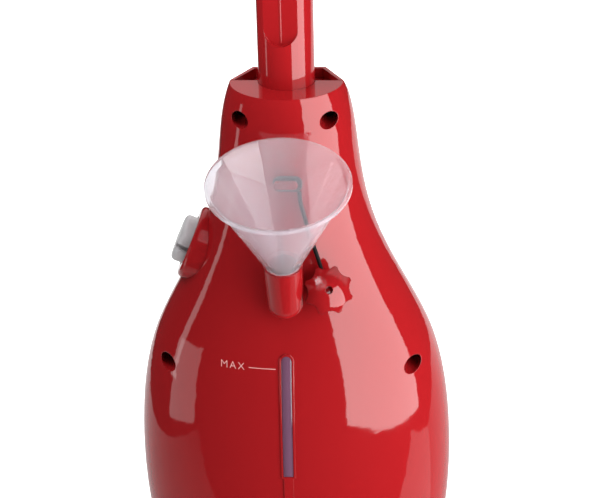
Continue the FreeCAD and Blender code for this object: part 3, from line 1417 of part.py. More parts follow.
YOKE_EAR_Y = "(block_depth/2 + joint_gap)"
yoke_barrel = cylinder("yoke_barrel", "yoke_barrel_radius", "yoke_width",
                       ("-yoke_width/2", 0, "pitch_height"), TO_X)
yoke_neck = centred_box("yoke_neck", "2*roll_ear_radius", "2*yoke_barrel_radius", "yoke_lift",
                        (0, 0, "pitch_height + 1"))
yoke_web = centred_box("yoke_web", "2*roll_ear_radius", f"2*({YOKE_EAR_Y} + roll_ear)",
                       "roll_height - roll_ear_radius - joint_gap - pitch_height - yoke_lift",
                       (0, 0, "pitch_height + yoke_lift"))
yoke_ears = []
for key, sign in (("rear", "-1"), ("front", "1")):
    start = f"{sign}*({YOKE_EAR_Y} + roll_ear/2) - roll_ear/2"
    yoke_ears.append(cylinder(f"yoke_ear_{key}", "roll_ear_radius", "roll_ear",
                              (0, start, "roll_height"), TO_Y))
    yoke_ears.append(box(f"yoke_cheek_{key}", "2*roll_ear_radius", "roll_ear",
                         "roll_height - pitch_height - yoke_lift",
                         ("-roll_ear_radius", start, "pitch_height + yoke_lift")))
yoke_bores = [
    cylinder("yoke_pitch_bore", "pitch_pin_radius + running_gap", "2*yoke_width",
             ("-yoke_width", 0, "pitch_height"), TO_X),
    cylinder("yoke_roll_bore", "roll_pin_radius + fit_gap", "4*block_depth",
             (0, "-2*block_depth", "roll_height"), TO_Y),
    cylinder("yoke_steam_bore", "steam_bore_radius + 1.4", "40", (0, 0, "pitch_height")),
]
node("swivel_yoke", cut("swivel_yoke_piece", fuse("swivel_yoke_solid", yoke_barrel, yoke_neck, yoke_web,
                                                      *yoke_ears),
                        *yoke_bores))
roll_pin_length = f"2*({YOKE_EAR_Y} + roll_ear)"
node("roll_pin", cylinder("roll_pin_rod", "roll_pin_radius", roll_pin_length,
                          (0, f"0 - {YOKE_EAR_Y} - roll_ear", "roll_height"), TO_Y))
joint_hose = cut("joint_hose_piece",
                 cylinder("joint_hose_outside", "steam_bore_radius + 1.3",
                          "roll_height - roll_ear_radius - joint_gap - pitch_height - pitch_pin_radius - 2",
                          (0, 0, "pitch_height + pitch_pin_radius + 0.6")),
                 cylinder("joint_hose_bore", "steam_bore_radius", "60", (0, 0, "pitch_height")))
node("joint_hose", joint_hose)

# ---------------------------------------------------------------- head

STRIP_LOW = "pad_thickness"
BASE_LOW = "(pad_thickness + strip_thickness)"
BASE_TOP = f"({BASE_LOW} + base_thickness)"


def head_plate(name, grow, low, height):
    """A plate in the head's plan, grown by grow, with round corners."""
    owner = body(name, (0, 0, low))
    drawing = sketch(owner, "XY_Plane", name + "_outline")
    rear = f"(head_rear_width/2 + {grow})"
    front = f"(head_front_width/2 + {grow})"
    deep = f"(head_depth/2 + {grow})"
    outline(drawing, [(f"-{rear}", f"-{deep}"), (rear, f"-{deep}"), (front, deep), (f"-{front}", deep)])
    pad(owner, drawing, height)

    def upright(edge):
        return abs(edge.BoundBox.ZLength - number(height)) < 0.01

    round_edges(owner, f"head_corner + {grow}", upright)
    return owner


microfibre = head_plate("pad_body", "pad_overhang", "0", "pad_thickness")
node("microfibre_pad", microfibre)

strips = [
    centred_box(f"grip_strip_{i}", "46", "18", "strip_thickness - 0.1",
                (f"{column}*(head_rear_width/2 - 60)", f"{line}*(head_depth/2 - 30)", f"{STRIP_LOW} + 0.1"))
    for i, (column, line) in enumerate([(c, l) for c in ("-1", "0", "1") for l in ("-1", "1")])]
node("pad_grip_strips", group("grip_strip_set", *strips))

hole_count = round(number("steam_hole_count"))
steam_holes = [
    cylinder(f"steam_hole_{i}", "steam_hole_radius", "base_thickness + 2",
             (f"steam_hole_pitch*({i} - ({hole_count} - 1)/2)", 0, f"{BASE_LOW} - 1"))
    for i in range(hole_count)]

HEAD_SCREW_SPOTS = [(f"{sx}*(head_front_width/2 - 34)", f"{sy}*(head_depth/2 - 26)")
                    for sx in ("-1", "1") for sy in ("-1", "1")]
head_screw_holes = [
    cylinder(f"head_screw_hole_{i}", "screw_shank_radius + fit_gap", "base_thickness*2",
             (x, y, f"{BASE_LOW} - 1"))
    for i, (x, y) in enumerate(HEAD_SCREW_SPOTS)]
head_screw_wells = [
    cylinder(f"head_screw_well_{i}", "screw_head_radius + 0.4", "4", (x, y, f"{BASE_LOW} - 1"))
    for i, (x, y) in enumerate(HEAD_SCREW_SPOTS)]
tray_bosses = [
    cylinder(f"tray_boss_{i}", "screw_head_radius + base_floor", "base_thickness*2",
             (x, y, BASE_LOW))
    for i, (x, y) in enumerate(HEAD_SCREW_SPOTS)]
tray_island = centred_box("tray_island", "manifold_length + 2*base_floor",
                          "manifold_width + 2*base_floor", "base_thickness*2", (0, 0, BASE_LOW))
tray_room = cut("tray_room",
                head_plate("tray_space", "(-bumper_thickness - base_wall)",
                           f"{BASE_LOW} + base_floor", "base_thickness"),
                tray_island, *tray_bosses)
base_plate = cut("base_plate_piece",
                 head_plate("base_plate_body", "(-bumper_thickness)", BASE_LOW, "base_thickness"),
                 tray_room, *steam_holes, *head_screw_holes, *head_screw_wells)
node("head_base_plate", base_plate)

bumper = cut("bumper_piece",
             head_plate("bumper_outside", "0", BASE_LOW + " + 0.5", "bumper_height"),
             head_plate("bumper_inside", "(0.1 - bumper_thickness)", BASE_LOW, "bumper_height + 2"))
node("head_bumper", bumper)


def cover_solid(name, grow, low, height):
    """The cover's form: a low skirt and a hipped roof, as a ruled loft."""
    rings = []
    for key, inset, rise in (("foot", "0", "0"), ("skirt", "1", "cover_skirt"),
                             ("roof", "cover_taper", height)):
        owner = doc.addObject("Sketcher::SketchObject", f"{name}_{key}")
        rear = f"(head_rear_width/2 - bumper_thickness + {grow} - {inset})"
        front = f"(head_front_width/2 - bumper_thickness + {grow} - {inset})"
        deep = f"(head_depth/2 - bumper_thickness + {grow} - {inset}*0.9)"
        rounded_plan(owner, rear, front, deep, f"(head_corner - {inset}*0.4 + {grow})")
        place(owner, (0, 0, f"{low} + {rise}"))
        rings.append(owner)
    return lofted(name, *rings)


def rounded_plan(drawing, rear, front, deep, corner):
    """The head's plan with its corners cut by short facets, so that it lofts cleanly."""
    cut_short = f"{corner}*0.3"
    cut_long = f"{corner}*0.75"
    points = []
    for side, wide, line in (("-1", rear, "-1"), ("1", rear, "-1"), ("1", front, "1"), ("-1", front, "1")):
        near = [(f"{side}*({wide} - {cut_long})", f"{line}*{deep}"),
                (f"{side}*({wide} - {cut_short})", f"{line}*({deep} - {cut_short})"),
                (f"{side}*{wide}", f"{line}*({deep} - {cut_long})")]
        if side == line:
            near.reverse()
        points += near
    outline(drawing, points)


cover_outside = cover_solid("cover_outside", "0", BASE_TOP, "cover_height")
cover_inside = cover_solid("cover_inside", "(-cover_wall)", f"({BASE_TOP} - 0.01)",
                           "(cover_height - cover_wall)")
COVER_TOP = f"({BASE_TOP} + cover_height)"
EAR_X = "(yoke_width/2 + joint_gap)"
ears = []
for key, sign in (("left", "-1"), ("right", "1")):
    start = f"{sign}*({EAR_X} + ear_thickness/2) - ear_thickness/2"
    ears.append(cylinder(f"ear_eye_{key}", "ear_radius", "ear_thickness", (start, 0, "pitch_height"), TO_X))
    ears.append(box(f"ear_foot_{key}", "ear_thickness", "ear_depth", f"pitch_height - {COVER_TOP} + 1",
                    (start, "-ear_depth/2", f"{COVER_TOP} - 1")))
cover_bosses = [
    cylinder(f"cover_boss_{i}", "4.2", "cover_height*0.8", (x, y, BASE_TOP))
    for i, (x, y) in enumerate(HEAD_SCREW_SPOTS)]
cover_bosses_in = common("cover_bosses_in", cover_outside, fuse("cover_boss_rods", *cover_bosses))
pitch_bore = cylinder("pitch_bore", "pitch_pin_radius + fit_gap", "4*yoke_width",
                      ("-2*yoke_width", 0, "pitch_height"), TO_X)
boss_pilots = [
    cylinder(f"boss_pilot_{i}", "screw_shank_radius + fit_gap", "10", (x, y, f"{BASE_TOP} - 1"))
    for i, (x, y) in enumerate(HEAD_SCREW_SPOTS)]
cover = cut("cover_piece",
            fuse("cover_solid", cut("cover_hollow", cover_outside, cover_inside), cover_bosses_in, *ears),
            pitch_bore, *boss_pilots)
node("head_top_cover", cover)

head_screws = [
    fuse(f"head_screw_{i}",
         cylinder(f"head_shank_{i}", "screw_shank_radius", "base_thickness + 6",
                  (x, y, f"{BASE_LOW} + 1")),
         cylinder(f"head_screw_head_{i}", "screw_head_radius", "2", (x, y, f"{BASE_LOW} + 0.8")))
    for i, (x, y) in enumerate(HEAD_SCREW_SPOTS)]
node("head_screws", group("head_screw_set", *head_screws))

manifold = cut("manifold_piece",
               centred_box("manifold_block", "manifold_length", "manifold_width", "manifold_height",
                           (0, 0, f"{BASE_TOP} + 0.05")),
               centred_box("manifold_channel", "manifold_length - 5", "manifold_width - 5",
                           "manifold_height - 2.5", (0, 0, f"{BASE_TOP} - 0.05")),
               cylinder("manifold_inlet", "steam_bore_radius", "20", (0, 0, BASE_TOP)))
node("steam_distributor", manifold)

pin_length = f"2*({EAR_X} + ear_thickness) + 2"
node("pitch_pin", cylinder("pitch_pin_rod", "pitch_pin_radius", pin_length,
                           (f"-1 - {EAR_X} - ear_thickness", 0, "pitch_height"), TO_X))

# ---------------------------------------------------------------- check and write

doc.recompute()
failed = [item.Name for item in doc.Objects if "Invalid" in item.State or "Error" in item.State]
if failed:
    raise RuntimeError("failed objects: " + ", ".join(failed))
for name, piece in NODES.items():
    if piece.Shape.isNull() or not piece.Shape.isValid() or not piece.Shape.Solids:
        raise RuntimeError("bad shape: " + name)

os.makedirs("parts", exist_ok=True)
for name, piece in NODES.items():
    piece.Shape.exportStep(f"parts/{name}.step")
    print(f"{name}: {len(piece.Shape.Solids)} solid(s), {piece.Shape.Volume / 1000:.2f} cm3")
print(len(NODES), "nodes")
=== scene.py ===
# %% [markdown]
# # A glossy red steam mop
# The body of this mop is two shells of moulded ABS that close round a water tank, a pump and a
# small boiler. A fluted pole stands in it, and a pad head hangs under it. The shapes come
# ready made from CAD, so this lesson gives them their finishes, adds the soft pad, the rubber
# strap and the printed water mark, and builds the studio that a glossy skin needs to show its
# form. It starts by loading the CAD pieces, in metres, each under its own name.

import math

import bmesh
import bpy
from mathutils import Matrix, Vector
from mathutils.bvhtree import BVHTree


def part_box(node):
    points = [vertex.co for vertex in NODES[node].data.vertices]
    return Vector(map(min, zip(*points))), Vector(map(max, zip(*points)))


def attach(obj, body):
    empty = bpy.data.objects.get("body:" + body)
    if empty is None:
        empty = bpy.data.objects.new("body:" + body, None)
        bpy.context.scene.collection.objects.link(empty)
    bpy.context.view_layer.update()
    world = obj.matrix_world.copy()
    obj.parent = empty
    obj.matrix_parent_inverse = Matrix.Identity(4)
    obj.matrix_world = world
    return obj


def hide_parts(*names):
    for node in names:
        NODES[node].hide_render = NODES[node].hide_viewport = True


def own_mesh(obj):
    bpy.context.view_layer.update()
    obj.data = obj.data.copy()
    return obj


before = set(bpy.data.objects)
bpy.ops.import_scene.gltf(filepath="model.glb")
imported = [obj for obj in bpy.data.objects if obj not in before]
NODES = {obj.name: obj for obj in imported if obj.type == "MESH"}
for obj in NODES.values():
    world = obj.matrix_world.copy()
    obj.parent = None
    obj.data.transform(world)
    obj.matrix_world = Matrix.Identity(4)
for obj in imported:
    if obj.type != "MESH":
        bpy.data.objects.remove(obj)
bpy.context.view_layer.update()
MM = 0.001

# %% [markdown]
# ## The camera
# A long lens from a little over a metre away keeps the tall body's sides nearly parallel. The
# camera stands to the right of the middle, looks down by about 25 degrees, and leans by a
# degree and a half. It could be aimed by a constraint at an empty, but three plain angles and a
# target are easier to correct one at a time, so its matrix is built from them.

# %% Camera
VIEW_AZIMUTH = math.radians(4.4)
VIEW_ELEVATION = math.radians(25.3)
VIEW_LEAN = math.radians(-1.485)
VIEW_DISTANCE = 1150 * MM
VIEW_TARGET = Vector((4.56, 0, 337.5)) * MM
FOCAL_LENGTH, SENSOR_WIDTH = 131.7, 36.0

back = Vector((math.sin(VIEW_AZIMUTH) * math.cos(VIEW_ELEVATION),
               -math.cos(VIEW_AZIMUTH) * math.cos(VIEW_ELEVATION), math.sin(VIEW_ELEVATION)))
level_right = (-back).cross(Vector((0, 0, 1))).normalized()
level_up = level_right.cross(-back)
right = level_right * math.cos(VIEW_LEAN) + level_up * math.sin(VIEW_LEAN)
up = level_up * math.cos(VIEW_LEAN) - level_right * math.sin(VIEW_LEAN)

lens = bpy.data.cameras.new("studio_camera")
lens.sensor_fit = "HORIZONTAL"
lens.sensor_width = SENSOR_WIDTH
lens.lens = FOCAL_LENGTH
camera = bpy.data.objects.new("studio_camera", lens)
bpy.context.scene.collection.objects.link(camera)
turn = Matrix((right, up, back)).transposed().to_4x4()
camera.matrix_world = Matrix.Translation(VIEW_TARGET + back * VIEW_DISTANCE) @ turn
bpy.context.scene.camera = camera
print("camera at", [round(v, 3) for v in camera.matrix_world.translation])

# %% [markdown]
# ## The cap's strap
# The filler cap hangs from a thin strap of soft rubber, so that it can't be lost while the tank
# is filled. A Bezier curve or a swept mesh would do as well. Here it is one NURBS curve of order
# three: such a curve runs straight between its points and turns softly at them, as the moulded
# strap does, and the curve's own bevel makes it round.

# %% The cap's strap
STRAP_DIAMETER = 2.1 * MM


def strap_curve(name, corners, radius):
    """A round strap along a soft line: the corners are in millimetres, the radius in metres."""
    data = bpy.data.curves.new(name, "CURVE")
    data.dimensions = "3D"
    data.bevel_depth = 1.0
    data.bevel_resolution = 6
    data.resolution_u = 24
    data.use_fill_caps = True
    line = data.splines.new("NURBS")
    line.points.add(len(corners) - 1)
    for point, corner in zip(line.points, corners):
        point.co = (*(Vector(corner) * MM), 1.0)
        point.radius = radius
    line.order_u = 3
    line.use_endpoint_u = True
    thing = bpy.data.objects.new(name, data)
    bpy.context.scene.collection.objects.link(thing)
    return thing


STRAP_CORNERS = [(7.6, -34.17, 385.45), (7.7, -34.37, 380.5), (10.0, -35.27, 372.5),
                 (14.0, -37.57, 358.0), (17.24, -37.75, 347.73), (19.25, -41.80, 342.12)]
strap = strap_curve("rubber_strap", STRAP_CORNERS, STRAP_DIAMETER / 2)
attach(strap, "filler_cap")
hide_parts("cap_tether")

# %% [markdown]
# ## Helpers for the finishes
# A few small helpers serve every finish. One turns a colour as a designer writes it, in sRGB
# hex, into the linear values that light is worked out in. Another adds one shader node, sets
# its sockets and joins them to what feeds them. The rest start a finish, end it, and put it on.

# %% Helpers for materials


def linear(hex_colour):
    """An sRGB hex colour as linear red, green, blue, and an alpha of one."""
    values = [int(hex_colour[i:i + 2], 16) / 255 for i in (1, 3, 5)]
    return (*[v / 12.92 if v <= 0.04045 else ((v + 0.055) / 1.055) ** 2.4 for v in values], 1.0)


def add(tree, kind, settings=None, links=None, **sockets):
    """Add a node: settings are its own properties, sockets its values, links what feeds them."""
    node = tree.nodes.new(kind)
    for name, value in (settings or {}).items():
        setattr(node, name, value)
    for name, value in sockets.items():
        node.inputs[name.replace("_", " ")].default_value = value
    for name, source in (links or {}).items():
        tree.links.new(source, node.inputs[name])
    return node


def finish(name):
    """A new material with an empty node tree and its output."""
    material = bpy.data.materials.new(name)
    material.use_nodes = True
    material.node_tree.nodes.clear()
    return material, material.node_tree


def settle(tree, shader):
    """Join the last shader to the material's output."""
    output = tree.nodes.new("ShaderNodeOutputMaterial")
    tree.links.new(shader.outputs[0], output.inputs["Surface"])


def paint(material, *names):
    """Give a finish to CAD nodes or to other objects."""
    for item in names:
        thing = NODES[item] if isinstance(item, str) else item
        thing.data.materials.clear()
        thing.data.materials.append(material)


print("a middle red in linear light:", [round(v, 3) for v in linear("#8E1418")[:3]])

# %% [markdown]
# ## Red ABS
# The shells, the pole and the handle are ABS, injected into a mirror polished mould. Such a
# skin is nearly free of grain, so lamps show in it as sharp shapes. Its colour is in the
# plastic itself, and a real moulding is never quite flat: slow waves of a few centimetres,
# under a tenth of a millimetre high, bend the edges of those shapes a little. Noise with one
# octave draws those waves as a bump, and a bevel node softens each edge in the shading. Real
# ABS has an IOR of 1.54.
#
# Two pieces differ. The filler cap's crown is rounder than a flat disc, so it gets a second
# bump that falls away from its middle. The head's cover gets knocked about under furniture, so
# its mould is spark eroded, and its dull skin hides scratches.

# %% Red ABS
ABS_IOR = 1.54
WAVE_SIZE = 45 * MM


def moulded(name, colour, roughness, edge=0.5 * MM, wave=0.06 * MM, shine=0.5, dome=None):
    """Polished or satin moulded plastic: dome is the middle and the radius of a round crown."""
    material, tree = finish(name)
    place = add(tree, "ShaderNodeTexCoord")
    waves = add(tree, "ShaderNodeTexNoise", links={"Vector": place.outputs["Object"]},
                Scale=1 / WAVE_SIZE, Detail=1.0)
    softened = add(tree, "ShaderNodeBevel", {"samples": 4}, Radius=edge)
    skin = add(tree, "ShaderNodeBump",
               links={"Height": waves.outputs["Fac"], "Normal": softened.outputs["Normal"]},
               Strength=1.0, Distance=wave)
    if dome:
        middle, radius = dome
        offset = add(tree, "ShaderNodeVectorMath", {"operation": "SUBTRACT"},
                     links={0: place.outputs["Object"]})
        offset.inputs[1].default_value = middle
        reach = add(tree, "ShaderNodeVectorMath", {"operation": "DOT_PRODUCT"},
                    links={0: offset.outputs[0], 1: offset.outputs[0]})
        fall = add(tree, "ShaderNodeMath", {"operation": "MULTIPLY"},
                   links={0: reach.outputs["Value"]})
        fall.inputs[1].default_value = -0.5 / radius
        skin = add(tree, "ShaderNodeBump",
                   links={"Height": fall.outputs[0], "Normal": skin.outputs["Normal"]},
                   Strength=1.0, Distance=1.0)
    shader = add(tree, "ShaderNodeBsdfPrincipled", links={"Normal": skin.outputs["Normal"]},
                 Base_Color=linear(colour), Roughness=roughness, IOR=ABS_IOR,
                 Specular_IOR_Level=shine)
    settle(tree, shader)
    return material


RED_ABS = "#8E1418"
MIRROR = 0.05
red_abs = moulded("red_abs_mirror_polished", RED_ABS, MIRROR)
paint(red_abs, "rear_shell", "front_shell", "filler_spout", "tether_lug",
      "dial_collar", "lower_pole", "upper_pole", "handle_right_shell", "handle_left_shell")

CAP_DOME = 25 * MM
cap_low, cap_high = [Vector(corner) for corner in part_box("filler_cap")]
cap_middle = (cap_low + cap_high) / 2
cap_crown = (cap_middle.x, cap_low.y, cap_middle.z)
paint(moulded("red_abs_domed_cap", RED_ABS, MIRROR, dome=(cap_crown, CAP_DOME)), "filler_cap")
paint(moulded("red_abs_spark_eroded", "#9C161B", 0.5, shine=0.2), "head_top_cover")
print("red ABS on the skin; the cap's crown is at", [round(v, 3) for v in cap_crown])

# %% [markdown]
# ## Milky polypropylene
# The funnel is thin polypropylene without colour. Its tiny crystals scatter part of the light,
# so the wall looks like thin milk, while the rest passes and shows what lies behind it. A
# volume of fog in the wall would be truer, but it is slow and noisy in a wall this thin. One
# principled shader does both: most of it transmits, and the rest is plain white. The body's
# IOR is kept near that of air, so that the thin wall doesn't bend what is seen through it, and
# a clear coat with the real IOR of 1.49 gives the skin its shine.

# %% Milky polypropylene
milky_pp, tree = finish("milky_polypropylene_moulded")
shader = add(tree, "ShaderNodeBsdfPrincipled", Base_Color=linear("#EFECF1"), Roughness=0.04,
             IOR=1.04, Transmission_Weight=0.86, Coat_Weight=0.6, Coat_Roughness=0.05,
             Coat_IOR=1.49)
settle(tree, shader)
paint(milky_pp, "funnel")
print("milky polypropylene on the funnel")

# %% [markdown]
# ## Frosted polycarbonate
# The steam dial is a thick knob of clear polycarbonate, IOR 1.58, with a fine frost on its
# skin, so it looks pale grey and lets a little light through. It could be glass with a rough
# surface, but a thick piece of that goes dark inside, so the frost is mostly plain pale grey.

# %% Frosted polycarbonate
frosted_pc, tree = finish("frosted_polycarbonate")
softened = add(tree, "ShaderNodeBevel", {"samples": 4}, Radius=0.8 * MM)
shader = add(tree, "ShaderNodeBsdfPrincipled", links={"Normal": softened.outputs["Normal"]},
             Base_Color=linear("#BDBABC"), Roughness=0.32, IOR=1.58, Transmission_Weight=0.15,
             Coat_Weight=0.3, Coat_Roughness=0.15)
settle(tree, shader)
paint(frosted_pc, "steam_dial")
print("frosted polycarbonate on the dial")

# %% [markdown]
# ## Smoked SAN
# The water tank and its window are one smoke-tinted clear plastic, SAN, IOR 1.57, as in many
# water tanks. Behind the window lies the dark inside of the body, so the tint is kept violet
# grey. The window's bar is rounded across its width, which gives it one bright edge: a bump
# that falls away to both sides bends the shading as that lens does.

# %% Smoked SAN
SAN_TINT = "#7C546E"
LENS_RADIUS = 7.0 * MM


def smoked(name, lens_radius=None):
    """Tinted clear plastic, with a face rounded across its width where lens_radius is given."""
    material, tree = finish(name)
    shader = add(tree, "ShaderNodeBsdfPrincipled", Base_Color=linear(SAN_TINT), Roughness=0.08,
                 IOR=1.57, Transmission_Weight=0.35, Coat_Weight=0.5, Coat_Roughness=0.03)
    if lens_radius:
        place = add(tree, "ShaderNodeTexCoord")
        across = add(tree, "ShaderNodeSeparateXYZ", links={0: place.outputs["Object"]})
        squared = add(tree, "ShaderNodeMath", {"operation": "MULTIPLY"},
                      links={0: across.outputs["X"], 1: across.outputs["X"]})
        fall = add(tree, "ShaderNodeMath", {"operation": "MULTIPLY"},
                   links={0: squared.outputs[0]})
        fall.inputs[1].default_value = -0.5 / lens_radius
        round_face = add(tree, "ShaderNodeBump", links={"Height": fall.outputs[0]},
                         Strength=1.0, Distance=1.0)
        for socket in ("Normal", "Coat Normal"):
            tree.links.new(round_face.outputs["Normal"], shader.inputs[socket])
    settle(tree, shader)
    return material


paint(smoked("smoked_san_clear_moulded"), "water_tank")
paint(smoked("smoked_san_window_lens", LENS_RADIUS), "level_window")
print("smoked SAN on the tank and its window")

# %% [markdown]
# ## Blacks: rubber and satin ABS
# The seal, the cord's gland, the grip, the hoses and the bumper are black thermoplastic
# rubber, dull and slightly grey, and the thin strap is a softer, darker one. The pole's joint,
# the hooks, the swivel and the head's base are black ABS from a mould with a fine spark
# texture, which gives a wide soft shine. The real texture is about a tenth of a millimetre
# wide. It is drawn three times as coarse, because finer noise only flickers.

# %% Black rubber and black ABS
SPARK_GRAIN = 0.35 * MM
SPARK_EDGE = 0.4 * MM


def grained(name, colour, roughness, height, ior):
    """A textured moulding: a fine even grain on softened edges."""
    material, tree = finish(name)
    place = add(tree, "ShaderNodeTexCoord")
    noise = add(tree, "ShaderNodeTexNoise", links={"Vector": place.outputs["Object"]},
                Scale=1 / SPARK_GRAIN, Detail=2.0)
    softened = add(tree, "ShaderNodeBevel", {"samples": 4}, Radius=SPARK_EDGE)
    skin = add(tree, "ShaderNodeBump",
               links={"Height": noise.outputs["Fac"], "Normal": softened.outputs["Normal"]},
               Strength=0.5, Distance=height)
    shader = add(tree, "ShaderNodeBsdfPrincipled", links={"Normal": skin.outputs["Normal"]},
                 Base_Color=linear(colour), Roughness=roughness, IOR=ior)
    settle(tree, shader)
    return material


RUBBER_HEIGHT, SPARK_HEIGHT = 0.02 * MM, 0.03 * MM
black_rubber = grained("black_rubber_moulded", "#1A1A1C", 0.55, RUBBER_HEIGHT, 1.5)
black_abs = grained("black_abs_spark_textured", "#202024", 0.42, SPARK_HEIGHT, ABS_IOR)
grey_abs = grained("grey_abs_spark_textured", "#55585C", 0.45, SPARK_HEIGHT, ABS_IOR)
strap_rubber = grained("black_rubber_strap", "#0E0C0D", 0.55, RUBBER_HEIGHT, 1.25)
paint(strap_rubber, strap)
paint(black_rubber, "tether_eyelet", "cap_seal", "cord_gland", "handle_grip", "head_bumper",
      "steam_hose", "joint_hose")
paint(black_abs, "pole_coupling", "pole_button", "lower_cord_hook", "hook_pivot",
      "upper_cord_hook", "swivel_block", "neck_collar", "swivel_yoke", "head_base_plate",
      "pad_grip_strips", "dial_switch")
paint(grey_abs, "chassis", "steam_distributor")
print("black strap, and grain of", round(SPARK_GRAIN / MM, 2), "mm on the dull pieces")

# %% [markdown]
# ## Metals
# Pins, springs, heater rods and most screws are steel with bright zinc. The screws deep in the
# red shell's wells are coloured near black instead, which is painted shade, so that each well
# looks like a dark hole with a dull glint. The boiler is an aluminium casting, with the fine
# grain of its mould. All three are one recipe: a metal takes its look from its colour, its
# roughness and the height of its grain.

# %% Metals
METAL_GRAIN = 1.2 * MM


def metal(name, colour, roughness, height):
    """Plated or cast metal with a fine grain of the given height."""
    material, tree = finish(name)
    place = add(tree, "ShaderNodeTexCoord")
    noise = add(tree, "ShaderNodeTexNoise", links={"Vector": place.outputs["Object"]},
                Scale=1 / METAL_GRAIN, Detail=3.0)
    skin = add(tree, "ShaderNodeBump", links={"Height": noise.outputs["Fac"]}, Strength=0.6,
               Distance=height)
    shader = add(tree, "ShaderNodeBsdfPrincipled", links={"Normal": skin.outputs["Normal"]},
                 Base_Color=linear(colour), Roughness=roughness, Metallic=1.0)
    settle(tree, shader)
    return material


zinc_steel = metal("zinc_plated_steel", "#B9BBBD", 0.3, 0.01 * MM)
# The screws deep in the wells are near black: painted shade for the dark of their wells.
well_shade_screw = metal("steel_painted_well_shade", "#1C1A1B", 0.45, 0.01 * MM)
cast_aluminium = metal("aluminium_die_cast", "#A5A8AB", 0.5, 0.12 * MM)
paint(zinc_steel, "handle_screws", "button_spring", "heating_element", "boiler_saddle",
      "thermal_fuse", "roll_pin", "head_screws", "pitch_pin")
paint(well_shade_screw, "shell_screws")
paint(cast_aluminium, "boiler")
print("metals: zinc, black oxide and cast aluminium")

# %% [markdown]
# ## Inner parts
# The board is green glass-epoxy, the pump's case and the thermostat are white nylon, the tubes
# are pale silicone, and the lamp is red acrylic. They are hidden in the body, so each takes the
# moulded finish with its own colour and shine, and without the large shells' waves.

# %% Inner parts
green_board = moulded("glass_epoxy_board", "#1F5B38", 0.35, edge=0.1 * MM, wave=0.0)
white_nylon = moulded("white_nylon_moulded", "#E4E4E0", 0.35, wave=0.0)
pale_silicone = moulded("pale_silicone_tube", "#DCD9D2", 0.4, edge=0.1 * MM, wave=0.0)
red_acrylic = moulded("red_acrylic_lamp", "#B0101A", 0.08, wave=0.0)
paint(green_board, "control_board")
paint(white_nylon, "water_pump", "thermostat")
paint(pale_silicone, "suction_tube", "feed_tube")
paint(red_acrylic, "power_lamp")
print("finishes so far:", len(bpy.data.materials))

# %% [markdown]
# ## The water mark
# A short line and the word MAX stand left of the window, pad printed in pale ink. They could
# be a mask in the red's material, but that needs an image. Here flat text becomes a mesh, and
# each of its points is dropped on the shell along the printing direction, so that the ink
# follows the bulge and stands a few hundredths of a millimetre proud.

# %% The water mark
MARK_HEIGHT = 293.8 * MM
INK_RISE = 0.06 * MM
WORD_LEFT, WORD_DROP, WORD_SIZE = -34.6 * MM, 1.6 * MM, 5.4 * MM
WORD_SPACING = 1.25
STROKE_THINNING = 0.07 * MM
LINE_START, LINE_END, LINE_HALF = -19.5 * MM, -5.5 * MM, 0.18 * MM
LINE_STEPS = 12


def tree_of(name):
    """A search tree over a CAD piece, which finds where a ray meets it."""
    thing = NODES[name]
    mesh = thing.data
    points = [thing.matrix_world @ vertex.co for vertex in mesh.vertices]
    return BVHTree.FromPolygons(points, [tuple(face.vertices) for face in mesh.polygons])


rear_tree = tree_of("rear_shell")


def print_on(thing, rise):
    """Drop a flat mesh, drawn in X and Z, on the rear shell."""
    for vertex in thing.data.vertices:
        start = Vector((vertex.co.x, -0.3, vertex.co.z))
        spot, normal, *_ = rear_tree.ray_cast(start, Vector((0, 1, 0)))
        vertex.co = spot - Vector((0, rise, 0))


def flat_mesh(name, faces_from):
    """A mesh object from a bmesh that faces_from fills."""
    mesh = bpy.data.meshes.new(name)
    form = bmesh.new()
    faces_from(form)
    form.to_mesh(mesh)
    form.free()
    thing = bpy.data.objects.new(name, mesh)
    bpy.context.scene.collection.objects.link(thing)
    return thing


def printed_word(name, word, left, base):
    """A word as a flat mesh in X and Z."""
    curve = bpy.data.curves.new(name + "_type", "FONT")
    curve.body = word
    curve.size = WORD_SIZE
    curve.space_character = WORD_SPACING
    curve.offset = -STROKE_THINNING
    curve.resolution_u = 2
    flat = bpy.data.objects.new(name + "_type", curve)
    bpy.context.scene.collection.objects.link(flat)
    mesh = bpy.data.meshes.new_from_object(flat)
    bpy.data.objects.remove(flat)
    thing = bpy.data.objects.new(name, mesh)
    bpy.context.scene.collection.objects.link(thing)
    for vertex in mesh.vertices:
        vertex.co = Vector((left + vertex.co.x, 0, base + vertex.co.y))
    return thing


def printed_line(form):
    """The line as a row of small faces, short enough to follow the shell."""
    rows = []
    for index in range(LINE_STEPS + 1):
        x = LINE_START + (LINE_END - LINE_START) * index / LINE_STEPS
        rows.append([form.verts.new((x, 0, MARK_HEIGHT + z)) for z in (-LINE_HALF, LINE_HALF)])
    for left_pair, right_pair in zip(rows, rows[1:]):
        form.faces.new((left_pair[0], right_pair[0], right_pair[1], left_pair[1]))


pale_ink, tree = finish("pale_pad_printing_ink")
shader = add(tree, "ShaderNodeBsdfPrincipled", Base_Color=linear("#DDA3A0"), Roughness=0.4)
settle(tree, shader)
mark_line = flat_mesh("water_mark_line", printed_line)
mark_word = printed_word("water_mark_word", "MAX", WORD_LEFT, MARK_HEIGHT - WORD_DROP)
for thing in (mark_line, mark_word):
    print_on(thing, INK_RISE)
    paint(pale_ink, thing)
    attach(thing, "mop_body")
print("water mark at", round(MARK_HEIGHT / MM), "mm above the floor")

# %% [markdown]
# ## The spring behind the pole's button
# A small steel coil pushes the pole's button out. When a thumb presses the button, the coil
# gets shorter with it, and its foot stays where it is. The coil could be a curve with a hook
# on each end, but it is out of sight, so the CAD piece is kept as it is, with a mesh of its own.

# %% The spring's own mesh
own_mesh(NODES["button_spring"])

